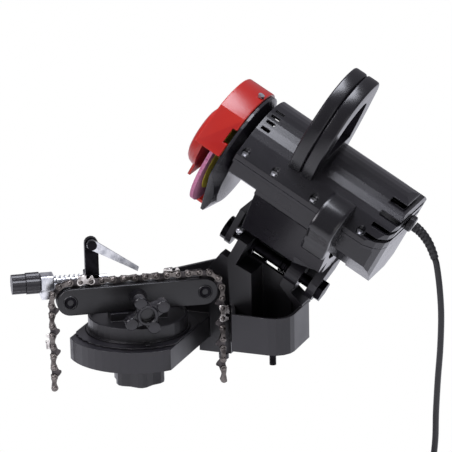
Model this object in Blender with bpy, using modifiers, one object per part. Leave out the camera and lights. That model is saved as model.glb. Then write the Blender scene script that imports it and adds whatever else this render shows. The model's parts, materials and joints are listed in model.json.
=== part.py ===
"""Bench grinder for saw chains: base with turntable and chain vise, and a tilting motor head."""

import math

import bmesh
import bpy
from mathutils import Matrix, Vector

for old in list(bpy.data.objects):
    bpy.data.objects.remove(old, do_unlink=True)

# Everything is in metres. X runs right, Y away from the operator and Z up. The origin lies on
# the flat underside of the base, which rests on the bench.

GAP = 0.0003  # between pieces that touch
OVERRUN = 0.002  # how far a cutter passes the face it cuts
EDGE = 0.0008  # small rounding on moulded edges

# Grinding wheel
WHEEL_RADIUS = 0.054
WHEEL_THICK = 0.0032
WHEEL_BORE = 0.0115
LABEL_RADIUS = 0.041
LABEL_THICK = 0.0004
FLANGE_RADIUS = 0.017
FLANGE_THICK = 0.004
NUT_RADIUS = 0.009
NUT_THICK = 0.006
SHAFT_RADIUS = 0.005

# Hinge between base and head: it lies along the tilted head's own x axis
TILT = math.radians(30)
HEAD_X = -0.06315
HEAD_Y = 0.014
HEAD_Z = 0.113
MOTOR_FORWARD = 0.022
MOTOR_RISE = 0.0745
PIN_RADIUS = 0.005
PIN_HEAD_RADIUS = 0.0108
PIN_HEAD_THICK = 0.0052
BEARING_RADIUS = 0.012
SPRING_WIRE = 0.0007
SPRING_RADIUS = 0.0068
SPRING_TURNS = 4

# Places along the head's x axis, measured from the middle of the wheel
LEFT_CHEEK = 0.0357
CHEEK_THICK = 0.0057
LEFT_EAR = 0.0492
LEFT_EAR_THICK = 0.010
RIGHT_EAR = 0.0982
RIGHT_EAR_THICK = 0.013
RIGHT_CHEEK = 0.1212
RIGHT_CHEEK_THICK = 0.008
APRON_DROP = 0.013
APRON_THICK = 0.004
STRUT_FOOT = 0.0395
STRUT_TOP = 0.052

# Turntable and the platform that carries it
TURN_X = -0.0946
TURN_Y = -0.0557
PLATFORM_HALF = 0.0473
PLATFORM_REACH = 0.062
PLATFORM_HEIGHT = 0.019
BOSS_RADIUS = 0.0243
BOSS_DEPTH = 0.010
KNOB_RADIUS = 0.0235
KNOB_DEPTH = 0.018
KNOB_LOBES = 6
KNOB_STEPS = 6
SCALE_OUTER = 0.0555
SCALE_INNER = 0.0462
SCALE_THICK = 0.0012
SCALE_TICKS = 40
TABLE_FLANGE_RADIUS = 0.0455
TABLE_FLANGE_THICK = 0.0024
TABLE_RADIUS = 0.0436
TABLE_TOP = 0.034
TABLE_RIM = 0.0022
TABLE_RECESS = 0.0035
POINTER_THICK = 0.0012
LOCK_BOLT_RADIUS = 0.004

# Body that stands on the bench
BODY_RIGHT = 0.0372
BODY_FRONT = -0.0355
BODY_BACK = 0.020
BODY_HEIGHT = 0.034
BODY_WALL = 0.003
BODY_CORNER = 0.018
NECK_FRONT = -0.006
NOTCH_RADIUS = 0.0826
PILLAR_LEFT = -0.0238
PILLAR_RIGHT = -0.0045
PILLAR_FRONT = -0.012
PILLAR_TOP = 0.009
PILLAR_MARGIN = 0.0012
BACK_WALL_DROP = 0.0105
TAB_LEFT = 0.0412
TAB_DEPTH = 0.006
TAB_DROP = 0.0150
GUSSET_LEFT = -0.093
GUSSET_RIGHT = -0.040
GUSSET_LEFT_TOP = 0.054
GUSSET_RIGHT_TOP = 0.071
GUSSET_THICK = 0.004
LIP_DEPTH = 0.014
LIP_THICK = 0.006
LIP_LENGTH = 0.030
EDGE_FOOT_RADIUS = 0.0045
EDGE_FOOT_DEPTH = 0.006
BENCH_BOLT_RADIUS = 0.003
BENCH_BOLT_HEAD = 0.0055
BENCH_BOLT_LENGTH = 0.012

# Vise: two plates with the chain between them, turned with the turntable
VISE_TURN = math.radians(32.65)
VISE_LENGTH = 0.142
VISE_LOW = 0.038
VISE_HIGH = 0.062
PLATE_THICK = 0.005
VISE_SLOT = 0.0022
VISE_SCREW_INSET = 0.0115
VISE_SCREW_RADIUS = 0.003
VISE_HEAD_RADIUS = 0.0052
VISE_HEAD_THICK = 0.003
PEDESTAL_LENGTH = 0.050
PEDESTAL_WIDTH = 0.018
CLAMP_REACH = 0.050
CLAMP_STEM_RADIUS = 0.0068
CLAMP_SCREW_RADIUS = 0.003
CLAMP_BAR = 0.042
CLAMP_BAR_HEIGHT = 0.0125
CLAMP_BAR_DEPTH = 0.012
CLAMP_HUB_RADIUS = 0.0092
CLAMP_RECESS_RADIUS = 0.0063
CLAMP_RECESS_DEPTH = 0.006
CLAMP_SLANT = math.radians(26)

# Chain stop behind the vise
STOP_BACK = 0.016
STOP_HEIGHT = 0.0635
STOP_ROD_RADIUS = 0.003
STOP_ROD_LENGTH = 0.078
STOP_KNOB_RADIUS = 0.0095
STOP_KNOB_LENGTH = 0.012
STOP_KNOB_GROOVES = 14
BRACKET_LENGTH = 0.012
BRACKET_WIDTH = 0.014
BRACKET_HEIGHT = 0.020
POST_WIDTH = 0.012
POST_THICK = 0.005
POST_TOP = 0.104
PAWL_LENGTH = 0.058
PAWL_WIDTH = 0.009
PAWL_THICK = 0.0025
PAWL_SCREW_RADIUS = 0.0042

# Saw chain lying in the vise
PITCH = 0.00953
LINK_HEIGHT = 0.0072
LINK_WAIST = 0.0052
STRAP_THICK = 0.0011
TANG_DEPTH = 0.0085
RIVET_RADIUS = 0.0019
CHAIN_HEIGHT = 0.0665
LEFT_FALL = 9
RIGHT_FALL = 10
CUTTER_RISE = 0.0062

# Motor housing, measured from the motor's own axis
ARCH_RADIUS = 0.060
CREASE_HEIGHT = 0.042
RIM_HALF = 0.057
RIM_HEIGHT = 0.022
SCREW_INSET = 0.0038
SHELL_WALL = 0.0025
SHELL_FRONT = 0.020
SHELL_END = 0.168
SHELL_CORNER = 0.026
SHELL_TOP_CORNER = 0.012
TUB_HALF = 0.050
SWING = math.radians(68)
SWING_CLEAR = 0.0018
TUB_SHALLOW = 0.020
TUB_DEEP = 0.046
HUMP_START = 0.049
HUMP_END = 0.128
TUB_FRONT_DEPTH = 0.0165
TUB_FRONT_FOOT = 0.10
TUB_FRONT_MID = -0.36
BACKING_PLACE = 0.0092
BACKING_RADIUS = 0.058
BACKING_REAR_RADIUS = 0.044
BACKING_FLAT = 0.0475
BACKING_FLAT_TURN = math.radians(52)
MOTOR_RADIUS = 0.030
MOTOR_FRONT = 0.062
MOTOR_LENGTH = 0.042
ROTOR_RADIUS = 0.0165
BEARING_OUTER = 0.011
BEARING_WIDTH = 0.008
FAN_RADIUS = 0.027
FAN_PLACE = 0.0555
FAN_BLADES = 9

# Loop handle over the housing and the grip in front of it
LOOP_FRONT = 0.061
LOOP_WIDTH = 0.025
LOOP_SIZE = 0.060
LOOP_THICK = 0.0155
GRIP_FRONT = 0.1085
GRIP_WIDTH = 0.023
GRIP_SIZE = 0.060
TRIGGER_TRAVEL = 0.003

# Guard over the wheel
GUARD_RADIUS = 0.060
GUARD_WALL = 0.0025
GUARD_FACE = -0.0165
GUARD_REAR = 0.0089
GUARD_CHEEK = 0.016
GUARD_HUB_RADIUS = 0.024
GUARD_HUB_RISE = 0.0095
GUARD_HUB_SHARE = 0.58
GUARD_WINDOW = 0.036
GUARD_WINDOW_END = 0.030
GUARD_SCREW_TURN = math.radians(96)

# Depth stop screw on the left cheek
DEPTH_PLACE = 0.0453
DEPTH_LIFT = 0.0117
DEPTH_TIP = -0.0203
DEPTH_END = 0.044
DEPTH_RADIUS = 0.0033

# Cord
CORD_RADIUS = 0.0028
COIL_TURNS = 7
COIL_RADIUS = 0.036
COIL_FLOOR = -0.120
PAWL_RUN_SHARE = 0.68
POST_PLACE_SHARE = 0.53
END_LINKS = 2
SADDLE_SHARE = 0.72
STRAP_WAIST_SHARE = 0.45
TUB_MID_SHARE = -0.10
TUB_FOOT_SHARE = 0.42
LOOP_SHARES = [
    (-0.75, 0.60), (-0.88, 0.98), (-0.89, 1.32), (-0.84, 1.55), (-0.68, 1.86), (-0.35, 2.08),
    (0.08, 2.12), (0.24, 1.98), (0.33, 1.72), (0.43, 1.33), (0.48, 0.80), (0.30, 0.60),
]
LOOP_HOLE_SHARES = [
    (-0.58, 0.98), (-0.62, 1.32), (-0.57, 1.50), (-0.45, 1.66), (-0.24, 1.80), (-0.02, 1.84),
    (0.06, 1.62), (0.15, 1.32), (0.20, 1.12),
]
GRIP_SHARES = [
    (-0.72, 0.52), (-0.84, 0.82), (-1.20, 0.73), (-1.37, 0.62), (-1.45, 0.40), (-1.27, 0.18),
    (-1.25, 0.05), (-1.13, -0.10), (-0.86, 0.02),
]
REAR_VENTS = 4
FRONT_VENTS = 4
VENT_HEIGHT = 0.0034
VENT_STEP = 8
TRIGGER_WIDTH = 0.010
TRIGGER_DEPTH = 0.010
TRIGGER_HEIGHT = 0.022
TRIGGER_SHARES = (-0.60, 1.24)
SCREW_SIDE = RIM_HALF - SCREW_INSET
SCREW_STATIONS = (0.0262, 0.0560, 0.0960, 0.1440)
SCREW_RADIUS = 0.0014
SCREW_HEAD_RADIUS = 0.0029
SCREW_HEAD_THICK = 0.0020
SCREW_SEAT = 0.0055
GUARD_FLAT_SHARE = 0.267
GUARD_OPEN_SHARE = 0.03
YOKE_FRONT = -0.014
YOKE_BACK = 0.026
DEPTH_BOSS = 0.011
RELIEF_ROUTE = [(0.1440, -0.0080, 0.1221), (0.1483, -0.0080, 0.1190), (0.1525, -0.0080, 0.1147),
                (0.1564, -0.0080, 0.1092), (0.1597, -0.0080, 0.1025), (0.1622, -0.0080, 0.0955)]
CORD_ROUTE = [(0.1623, -0.0080, 0.0951), (0.1640, -0.0080, 0.0890), (0.1665, -0.0080, 0.0700),
              (0.1680, -0.0080, 0.0450), (0.1672, -0.0080, 0.0150), (0.1650, -0.0080, -0.0150),
              (0.1634, -0.0080, -0.0450), (0.1630, -0.0088, -0.0700), (0.1622, -0.0150, -0.0915),
              (0.16155, -0.0285, -0.1060), (0.16135, -0.0405, -0.1107), (0.16135, -0.0486, -0.1110)]
GLAND_PLACE_SHARE = 0.627
GLAND_RADIUS = 0.0075
GLAND_LENGTH = 0.0055
RELIEF_RADIUS = 0.0046
COIL_PITCH = 0.0062
COIL_LAYER = 0.0062
COIL_X = 0.1145
COIL_Y = -0.0545
PLUG_LENGTH = 0.034
PLUG_WIDTH = 0.026
PLUG_THICK = 0.014
PIN_LENGTH = 0.019
PIN_SPACE = 0.019
PIN_THICK_RADIUS = 0.002
TIE_WIDTH = 0.008
TIE_THICK = 0.0012
COIL_START = 0.0

part_group = bpy.data.collections.new("chain_sharpener")
tool_group = bpy.data.collections.new("cutters")
for group in (part_group, tool_group):
    bpy.context.scene.collection.children.link(group)

PAINTS = {
    "black plastic": ((0.025, 0.025, 0.028), 0.42, 0.0),
    "black rubber": ((0.015, 0.015, 0.015), 0.7, 0.0),
    "red plastic": ((0.72, 0.04, 0.02), 0.35, 0.0),
    "zinc plate": ((0.62, 0.62, 0.60), 0.3, 1.0),
    "chain steel": ((0.32, 0.31, 0.30), 0.35, 1.0),
    "pink grit": ((0.45, 0.16, 0.28), 0.85, 0.0),
    "yellow paper": ((0.75, 0.65, 0.05), 0.6, 0.0),
    "copper": ((0.60, 0.25, 0.12), 0.35, 1.0),
}

# Rotations that lay a shape's own z axis along x, y or z
FACING = {
    "x": Matrix(((0, 0, 1), (1, 0, 0), (0, 1, 0))).to_4x4(),
    "y": Matrix(((1, 0, 0), (0, 0, -1), (0, 1, 0))).to_4x4(),
    "z": Matrix.Identity(4),
}


def paint(piece, finish):
    """Give a piece its own Principled material."""
    colour, roughness, metallic = PAINTS[finish]
    material = bpy.data.materials.new(piece.name)
    material.use_nodes = True
    shader = material.node_tree.nodes["Principled BSDF"]
    shader.inputs["Base Color"].default_value = (*colour, 1)
    shader.inputs["Roughness"].default_value = roughness
    shader.inputs["Metallic"].default_value = metallic
    piece.data.materials.clear()
    piece.data.materials.append(material)


def place(name, mesh, centre, facing="z", parent=None):
    """Put a mesh into the part as an object under its parent."""
    piece = bpy.data.objects.new(name, mesh)
    part_group.objects.link(piece)
    piece.parent = parent
    piece.matrix_local = Matrix.Translation(centre) @ FACING[facing]
    return piece


def block(name, size, centre, parent=None, rounding=EDGE):
    """A box with slightly rounded edges."""
    bm = bmesh.new()
    bmesh.ops.create_cube(bm, size=1)
    bmesh.ops.scale(bm, vec=Vector(size), verts=bm.verts)
    mesh = bpy.data.meshes.new(name)
    bm.to_mesh(mesh)
    bm.free()
    piece = place(name, mesh, centre, "z", parent)
    if rounding:
        soften(piece, rounding)
    return piece


def drum(name, radius, length, centre, facing="z", parent=None, sides=32, end_radius=None):
    """A cylinder or cone about its centre; end_radius is the one at the far end."""
    bm = bmesh.new()
    far = radius if end_radius is None else end_radius
    bmesh.ops.create_cone(bm, cap_ends=True, segments=sides, radius1=radius, radius2=far, depth=length)
    mesh = bpy.data.meshes.new(name)
    bm.to_mesh(mesh)
    bm.free()
    piece = place(name, mesh, centre, facing, parent)
    shade(piece)
    return piece


def shade(piece):
    piece.data.shade_smooth()
    piece.data.set_sharp_from_angle(angle=math.radians(35))


def soften(piece, width, steps=1):
    bevel = piece.modifiers.new("rounding", "BEVEL")
    bevel.width = width
    bevel.segments = steps
    bevel.limit_method = "ANGLE"
    bevel.angle_limit = math.radians(35)


def as_mesh(piece):
    """Replace a curve object by its mesh, with the caps welded on."""
    bpy.context.view_layer.update()
    graph = bpy.context.evaluated_depsgraph_get()
    mesh = bpy.data.meshes.new_from_object(piece.evaluated_get(graph))
    bm = bmesh.new()
    bm.from_mesh(mesh)
    bmesh.ops.remove_doubles(bm, verts=bm.verts, dist=GAP / 30)
    bmesh.ops.recalc_face_normals(bm, faces=bm.faces)
    bm.to_mesh(mesh)
    bm.free()
    name = piece.name
    parent = piece.parent
    local = piece.matrix_local.copy()
    bpy.data.objects.remove(piece)
    solid = bpy.data.objects.new(name, mesh)
    part_group.objects.link(solid)
    solid.parent = parent
    solid.matrix_local = local
    return solid


def plate(name, outlines, thickness, centre, facing="z", parent=None):
    """A flat outline, with any holes after it, extruded to its thickness."""
    curve = bpy.data.curves.new(name, "CURVE")
    curve.dimensions = "2D"
    curve.fill_mode = "BOTH"
    curve.extrude = thickness / 2
    for outline in outlines:
        spline = curve.splines.new("POLY")
        spline.points.add(len(outline) - 1)
        for point, (across, along) in zip(spline.points, outline):
            point.co = (across, along, 0, 1)
        spline.use_cyclic_u = True
    return as_mesh(place(name, curve, centre, facing, parent))


def turned(name, profile, centre, facing="z", parent=None, sides=32):
    """A profile of (radius, height) points, top to bottom, turned about its axis."""
    mesh = bpy.data.meshes.new(name)
    closed = profile[0] == profile[-1]
    corners = profile[:-1] if closed else profile
    edges = [(index, index + 1) for index in range(len(corners) - 1)]
    if closed:
        edges.append((len(corners) - 1, 0))
    mesh.from_pydata([(radius, 0, height) for radius, height in corners], edges, [])
    piece = place(name, mesh, centre, facing, parent)
    screw = piece.modifiers.new("turning", "SCREW")
    screw.steps = sides
    screw.render_steps = sides
    screw.use_merge_vertices = True
    screw.merge_threshold = GAP / 30
    screw.use_smooth_shade = False
    return piece


def ring(name, outer, inner, low, high, centre, facing="z", parent=None, sides=32):
    """A turned ring from its low to its high end."""
    profile = [(outer, high), (outer, low), (inner, low), (inner, high), (outer, high)]
    return turned(name, profile, centre, facing, parent, sides)


def tube(name, points, radius, centre=(0, 0, 0), parent=None, resolution=2, taper=None):
    """A round wire along a list of points, thinning towards its end where taper is given."""
    curve = bpy.data.curves.new(name, "CURVE")
    curve.dimensions = "3D"
    curve.bevel_depth = radius
    curve.bevel_resolution = resolution
    curve.use_fill_caps = True
    spline = curve.splines.new("POLY")
    spline.points.add(len(points) - 1)
    for index, (point, where) in enumerate(zip(spline.points, points)):
        point.co = (*where, 1)
        if taper:
            point.radius = 1 + (taper - 1) * index / (len(points) - 1)
    return as_mesh(place(name, curve, centre, "z", parent))


def boolean(piece, tool, operation="DIFFERENCE"):
    """Cut, join or intersect a piece with a tool, which is put away with the cutters."""
    change = piece.modifiers.new(tool.name, "BOOLEAN")
    change.operation = operation
    change.solver = "EXACT"
    change.object = tool
    part_group.objects.unlink(tool)
    tool_group.objects.link(tool)
    tool.hide_render = True
    tool.display_type = "WIRE"


def join(piece, tool):
    boolean(piece, tool, "UNION")


def gather(name, pieces, parent=None):
    """One node made of several separate solids."""
    bpy.context.view_layer.update()
    graph = bpy.context.evaluated_depsgraph_get()
    bm = bmesh.new()
    for piece in pieces:
        mesh = bpy.data.meshes.new_from_object(piece.evaluated_get(graph))
        mesh.transform(piece.matrix_world)
        bm.from_mesh(mesh)
        bpy.data.meshes.remove(mesh)
    for piece in pieces:
        bpy.data.objects.remove(piece)
    mesh = bpy.data.meshes.new(name)
    bm.to_mesh(mesh)
    bm.free()
    if parent:
        mesh.transform(parent.matrix_world.inverted())
    return place(name, mesh, (0, 0, 0), "z", parent)


def pivot(name, where, turn=None, parent=None):
    """An empty on a joint's axis, which the moving pieces hang from."""
    empty = bpy.data.objects.new(name, None)
    part_group.objects.link(empty)
    empty.parent = parent
    empty.location = where
    if turn:
        empty.rotation_euler = turn
    return empty


def arc(centre, radius, start, end, steps):
    """Points on an arc in the plane, angles in radians."""
    return [
        (
            centre[0] + radius * math.cos(start + (end - start) * step / steps),
            centre[1] + radius * math.sin(start + (end - start) * step / steps),
        )
        for step in range(steps + 1)
    ]


def from_shares(shares, size):
    return [(across * size, along * size) for across, along in shares]


# Frames: the base stands in the world, the head leans back about the hinge, and the motor's
# axis runs parallel to the hinge above it
HEAD = pivot("head_pivot", (HEAD_X, HEAD_Y, HEAD_Z), (0, TILT, 0))
MOTOR = pivot("motor_axis", (0, -MOTOR_FORWARD, MOTOR_RISE), None, HEAD)
TURN = pivot("turntable_axis", (TURN_X, TURN_Y, 0))
VISE = pivot("vise_line", (0, 0, 0), (0, 0, VISE_TURN), TURN)
HINGE = pivot("hinge_on_base", (HEAD_X, HEAD_Y, HEAD_Z), (0, TILT, 0))
# The base as the fully swung head sees it
SWUNG_HINGE = pivot("swung_hinge", (0, 0, 0), (-SWING, 0, 0), HINGE)
SWUNG_PLACE = (HEAD_Z * math.sin(TILT) - HEAD_X * math.cos(TILT), -HEAD_Y, -HEAD_X * math.sin(TILT) - HEAD_Z * math.cos(TILT))
SWUNG = pivot("swung_base", SWUNG_PLACE, (0, -TILT, 0), SWUNG_HINGE)
BODY_LEFT = TURN_X + PLATFORM_HALF
BODY_DEPTH = BODY_BACK - NECK_FRONT
PILLAR_BACK = HEAD_Y + BEARING_RADIUS + PILLAR_MARGIN
ROOT_DROP = -(BEARING_RADIUS + PILLAR_MARGIN)
HINGE_CLEAR = PIN_RADIUS + GAP
bpy.context.view_layer.update()


def on_hinge(along, rise):
    """World x and z of a point given along the hinge and above it."""
    x = HEAD_X + along * math.cos(TILT) + rise * math.sin(TILT)
    z = HEAD_Z - along * math.sin(TILT) + rise * math.cos(TILT)
    return x, z


def body_outline(inset):
    """Plan of the body, with the round notch in which the hanging chain swings."""
    left = BODY_LEFT + inset
    front = BODY_FRONT + inset
    neck = NECK_FRONT + inset
    notch = NOTCH_RADIUS + inset
    start = math.asin((neck - TURN_Y) / notch)
    end = math.asin((front - TURN_Y) / notch)
    corner = BODY_CORNER - inset
    corner_centre = (BODY_RIGHT - BODY_CORNER, BODY_FRONT + BODY_CORNER)
    points = [(left, BODY_BACK - inset), (left, neck)]
    points += arc((TURN_X, TURN_Y), notch, start, end, 5)
    points += arc(corner_centre, corner, -math.pi / 2, 0, 4)
    points.append((BODY_RIGHT - inset, BODY_BACK - inset))
    return points


def base_body():
    """The base in one moulding: tray, platform, bearing pillar, right ear and back wall."""
    body = plate("base_body", [body_outline(0)], BODY_HEIGHT, (0, 0, BODY_HEIGHT / 2))
    floor = BODY_WALL
    tray = plate("tray_cut", [body_outline(BODY_WALL)], BODY_HEIGHT, (0, 0, floor + BODY_HEIGHT / 2))
    boolean(body, tray)

    half_angle = math.acos(PLATFORM_HALF / PLATFORM_REACH)
    outline = [(BODY_LEFT + BODY_WALL / 2, BODY_BACK - BODY_WALL / 2)]
    outline.append((TURN_X - PLATFORM_HALF, BODY_BACK - BODY_WALL / 2))
    outline += arc((TURN_X, TURN_Y), PLATFORM_REACH, math.pi + half_angle, 2 * math.pi - half_angle, 14)
    outline.append((BODY_LEFT, NECK_FRONT - BODY_WALL))
    outline.append((BODY_LEFT + BODY_WALL / 2, NECK_FRONT + BODY_WALL / 2))
    platform = plate("platform", [outline], PLATFORM_HEIGHT, (0, 0, PLATFORM_HEIGHT / 2))
    join(body, platform)
    boss = drum("platform_boss", BOSS_RADIUS, BOSS_DEPTH + OVERRUN, (TURN_X, TURN_Y, (OVERRUN - BOSS_DEPTH) / 2))
    join(body, boss)

    lip_left = BODY_LEFT - LIP_LENGTH / 3
    lip_height = LIP_DEPTH + OVERRUN
    lip_size = (LIP_LENGTH, LIP_THICK, lip_height)
    lip_centre = (lip_left + LIP_LENGTH / 2, NECK_FRONT + LIP_THICK / 2 + GAP, OVERRUN - lip_height / 2)
    join(body, block("bench_edge_lip", lip_size, lip_centre, None, 0))

    pillar_depth = PILLAR_BACK - PILLAR_FRONT
    left_top = on_hinge(LEFT_EAR + GAP, PILLAR_TOP)
    left_low = on_hinge(LEFT_EAR + GAP, ROOT_DROP)
    right_top = on_hinge(LEFT_EAR + LEFT_EAR_THICK - GAP, PILLAR_TOP)
    right_low = on_hinge(LEFT_EAR + LEFT_EAR_THICK - GAP, ROOT_DROP)
    shoulder = HEAD_Z - (BEARING_RADIUS + (PILLAR_RIGHT - HEAD_X) * math.sin(TILT)) / math.cos(TILT)
    outline = [(PILLAR_LEFT, floor / 2), (PILLAR_RIGHT, floor / 2), (PILLAR_RIGHT, shoulder)]
    outline += [right_low, right_top, left_top, left_low]
    pillar_y = (PILLAR_FRONT + PILLAR_BACK) / 2
    pillar = plate("pillar", [outline], pillar_depth, (0, pillar_y, 0), "y")
    join(body, pillar)
    ear_low = RIGHT_EAR + RIGHT_EAR_THICK
    wall_foot = BODY_RIGHT - BODY_WALL * 2
    outline = [(wall_foot, BODY_HEIGHT - OVERRUN), (BODY_RIGHT - GAP, BODY_HEIGHT - OVERRUN)]
    outline += [(BODY_RIGHT - GAP, BODY_HEIGHT + OVERRUN), on_hinge(ear_low - GAP, ROOT_DROP)]
    outline += [on_hinge(ear_low - GAP, 0), on_hinge(RIGHT_EAR + GAP, 0)]
    outline += [on_hinge(RIGHT_EAR + GAP, ROOT_DROP)]
    ear_wall = plate("ear_wall", [outline], (BEARING_RADIUS - PILLAR_MARGIN) * 2, (0, HEAD_Y, 0), "y")
    join(body, ear_wall)
    for name, along, thick in (
        ("left_bearing", LEFT_EAR, LEFT_EAR_THICK),
        ("right_bearing", RIGHT_EAR, RIGHT_EAR_THICK),
    ):
        centre = (along + thick / 2, 0, 0)
        join(body, drum(name, BEARING_RADIUS, thick, centre, "x", HINGE, 28))

    left_x, left_z = on_hinge(LEFT_EAR, -BACK_WALL_DROP)
    right_x, right_z = on_hinge(RIGHT_EAR + RIGHT_EAR_THICK / 2, -BACK_WALL_DROP)
    outline = [(left_x, floor / 3), (right_x, floor / 3), (right_x, right_z), (left_x, left_z)]
    wall_y = BODY_BACK - BODY_WALL * 2 / 3 - GAP
    join(body, plate("back_wall", [outline], BODY_WALL * 4 / 3, (0, wall_y, 0), "y"))

    tab_left = on_hinge(TAB_LEFT, -TAB_DROP)
    tab_right = on_hinge(LEFT_EAR + GAP, -TAB_DROP)
    outline = [(BODY_LEFT + BODY_WALL / 3, BODY_HEIGHT - BODY_WALL * 2)]
    outline += [(PILLAR_LEFT + BODY_WALL, BODY_HEIGHT - BODY_WALL * 2)]
    outline += [(PILLAR_LEFT + BODY_WALL, left_low[1]), tab_right, tab_left]
    outline += [(BODY_LEFT + GAP, tab_left[1] - TAB_DROP)]
    flank_y = NECK_FRONT + TAB_DEPTH
    join(body, plate("stop_tab", [outline], TAB_DEPTH * 2, (0, flank_y, 0), "y"))

    root = BODY_LEFT + BODY_WALL / 2
    foot = PLATFORM_HEIGHT - OVERRUN
    shelf = BODY_HEIGHT - BODY_WALL
    outline = [(GUSSET_LEFT, foot), (root, foot), (root, shelf), (GUSSET_RIGHT, shelf)]
    outline += [(GUSSET_RIGHT, GUSSET_RIGHT_TOP), (GUSSET_LEFT, GUSSET_LEFT_TOP)]
    gusset_y = flank_y + TAB_DEPTH - GUSSET_THICK / 2 - GAP
    join(body, plate("rear_gusset", [outline], GUSSET_THICK, (0, gusset_y, 0), "y"))

    reach = RIGHT_EAR + RIGHT_EAR_THICK
    boolean(body, drum("pin_hole", HINGE_CLEAR, reach, (LEFT_EAR + reach / 2, 0, 0), "x", HINGE, 24))
    bolt_hole = drum("lock_bolt_hole", LOCK_BOLT_RADIUS + GAP, (PLATFORM_HEIGHT + BOSS_DEPTH) * 2,
                     (TURN_X, TURN_Y, 0), "z", None, 20)
    boolean(body, bolt_hole)
    for index, (x, y) in enumerate(bench_bolt_places()):
        hole = drum(f"bench_bolt_hole_{index}", BENCH_BOLT_RADIUS + GAP, BODY_WALL * 3, (x, y, 0), "z", None, 16)
        boolean(body, hole)
    paint(body, "black plastic")
    return body


def bench_bolt_places():
    """Two bolts through the tray floor hold the base on the bench."""
    inset = BODY_WALL + BENCH_BOLT_HEAD * 1.5
    return [
        (BODY_RIGHT - BODY_CORNER, BODY_FRONT + inset),
        (BODY_LEFT + inset, BODY_BACK - inset - BODY_WALL),
    ]


def edge_foot_place():
    """The bumper under the bench edge lip."""
    return BODY_LEFT + LIP_THICK * 2, NECK_FRONT + LIP_THICK / 2


def base_fittings():
    """Scale ring, bolts, bumper and the hinge pin with its head, nut and washer."""
    mid = (TURN_X, TURN_Y, PLATFORM_HEIGHT + GAP)
    outline = []
    for tick in range(SCALE_TICKS * 2):
        radius = SCALE_OUTER - (tick % 2) * SCALE_THICK
        angle = math.pi * tick / SCALE_TICKS
        outline.append((radius * math.cos(angle), radius * math.sin(angle)))
    hole = arc((0, 0), SCALE_INNER, 0, 2 * math.pi * (1 - 1 / 40), 39)
    scale = plate("angle_scale", [outline, hole], SCALE_THICK, (mid[0], mid[1], mid[2] + SCALE_THICK / 2))
    trim = block("scale_trim", (PLATFORM_HALF * 2 - GAP * 2, SCALE_OUTER * 3, SCALE_THICK * 4),
                 (TURN_X, TURN_Y, mid[2]), None, 0)
    boolean(scale, trim, "INTERSECT")
    paint(scale, "black plastic")

    for index, (x, y) in enumerate(bench_bolt_places()):
        head_low = BODY_WALL + GAP
        thread = BENCH_BOLT_LENGTH + head_low
        shank = drum(f"bench_bolt_shank_{index}", BENCH_BOLT_RADIUS, thread + OVERRUN,
                     (x, y, head_low + OVERRUN - (thread + OVERRUN) / 2), "z", None, 14)
        head = drum(f"bench_bolt_{index}", BENCH_BOLT_HEAD, BENCH_BOLT_RADIUS,
                    (x, y, head_low + BENCH_BOLT_RADIUS / 2), "z", None, 6)
        join(head, shank)
        paint(head, "zinc plate")

    foot_x, foot_y = edge_foot_place()
    foot_z = -LIP_DEPTH - GAP - EDGE_FOOT_DEPTH / 2
    foot = drum("edge_bumper", EDGE_FOOT_RADIUS, EDGE_FOOT_DEPTH, (foot_x, foot_y, foot_z), "z", None, 20)
    soften(foot, EDGE)
    paint(foot, "black rubber")

    start = LEFT_CHEEK - GAP
    end = RIGHT_CHEEK + RIGHT_CHEEK_THICK + GAP
    pin = drum("hinge_pin", PIN_RADIUS, end - start + PIN_HEAD_THICK, (start + (end - start + PIN_HEAD_THICK) / 2, 0, 0),
               "x", HINGE, 24)
    head = drum("hinge_pin_head", PIN_HEAD_RADIUS, PIN_HEAD_THICK, (start - PIN_HEAD_THICK / 2, 0, 0), "x", HINGE, 12)
    overlap = drum("pin_root", PIN_RADIUS, PIN_HEAD_THICK, (start, 0, 0), "x", HINGE, 24)
    join(head, overlap)
    join(pin, head)
    paint(pin, "zinc plate")
    nut = drum("hinge_nut", PIN_HEAD_RADIUS * 0.95, PIN_HEAD_THICK, (end + PIN_HEAD_THICK / 2, 0, 0), "x", HINGE, 6)
    boolean(nut, drum("nut_bore", PIN_RADIUS + GAP, PIN_HEAD_THICK * 3, (end, 0, 0), "x", HINGE, 24))
    paint(nut, "zinc plate")
    collar_low = LEFT_EAR + LEFT_EAR_THICK + GAP
    collar = ring("hinge_collar", BEARING_RADIUS * 0.75, PIN_RADIUS + GAP, 0, CHEEK_THICK / 2,
                  (collar_low, 0, 0), "x", HINGE, 28)
    paint(collar, "zinc plate")

    length = RIGHT_EAR - GAP * 2 - spring_start()
    steps = SPRING_TURNS * 10
    points = []
    for step in range(steps + 1):
        angle = 2 * math.pi * step / 10
        place_x = SPRING_WIRE + (length - 2 * SPRING_WIRE) * step / steps
        points.append((place_x, SPRING_RADIUS * math.cos(angle), SPRING_RADIUS * math.sin(angle)))
    least = (length - 2 * SPRING_WIRE) / SPRING_TURNS - 2 * SPRING_WIRE
    print(f"return spring: least gap between turns {least * 1000:.2f} mm")
    spring = tube("return_spring", points, SPRING_WIRE, (spring_start(), 0, 0), HINGE, 1)
    paint(spring, "zinc plate")


def spring_start():
    """The return spring is wound round the pin just left of the right ear."""
    return RIGHT_EAR - SPRING_TURNS * SPRING_RADIUS * 0.36


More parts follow.
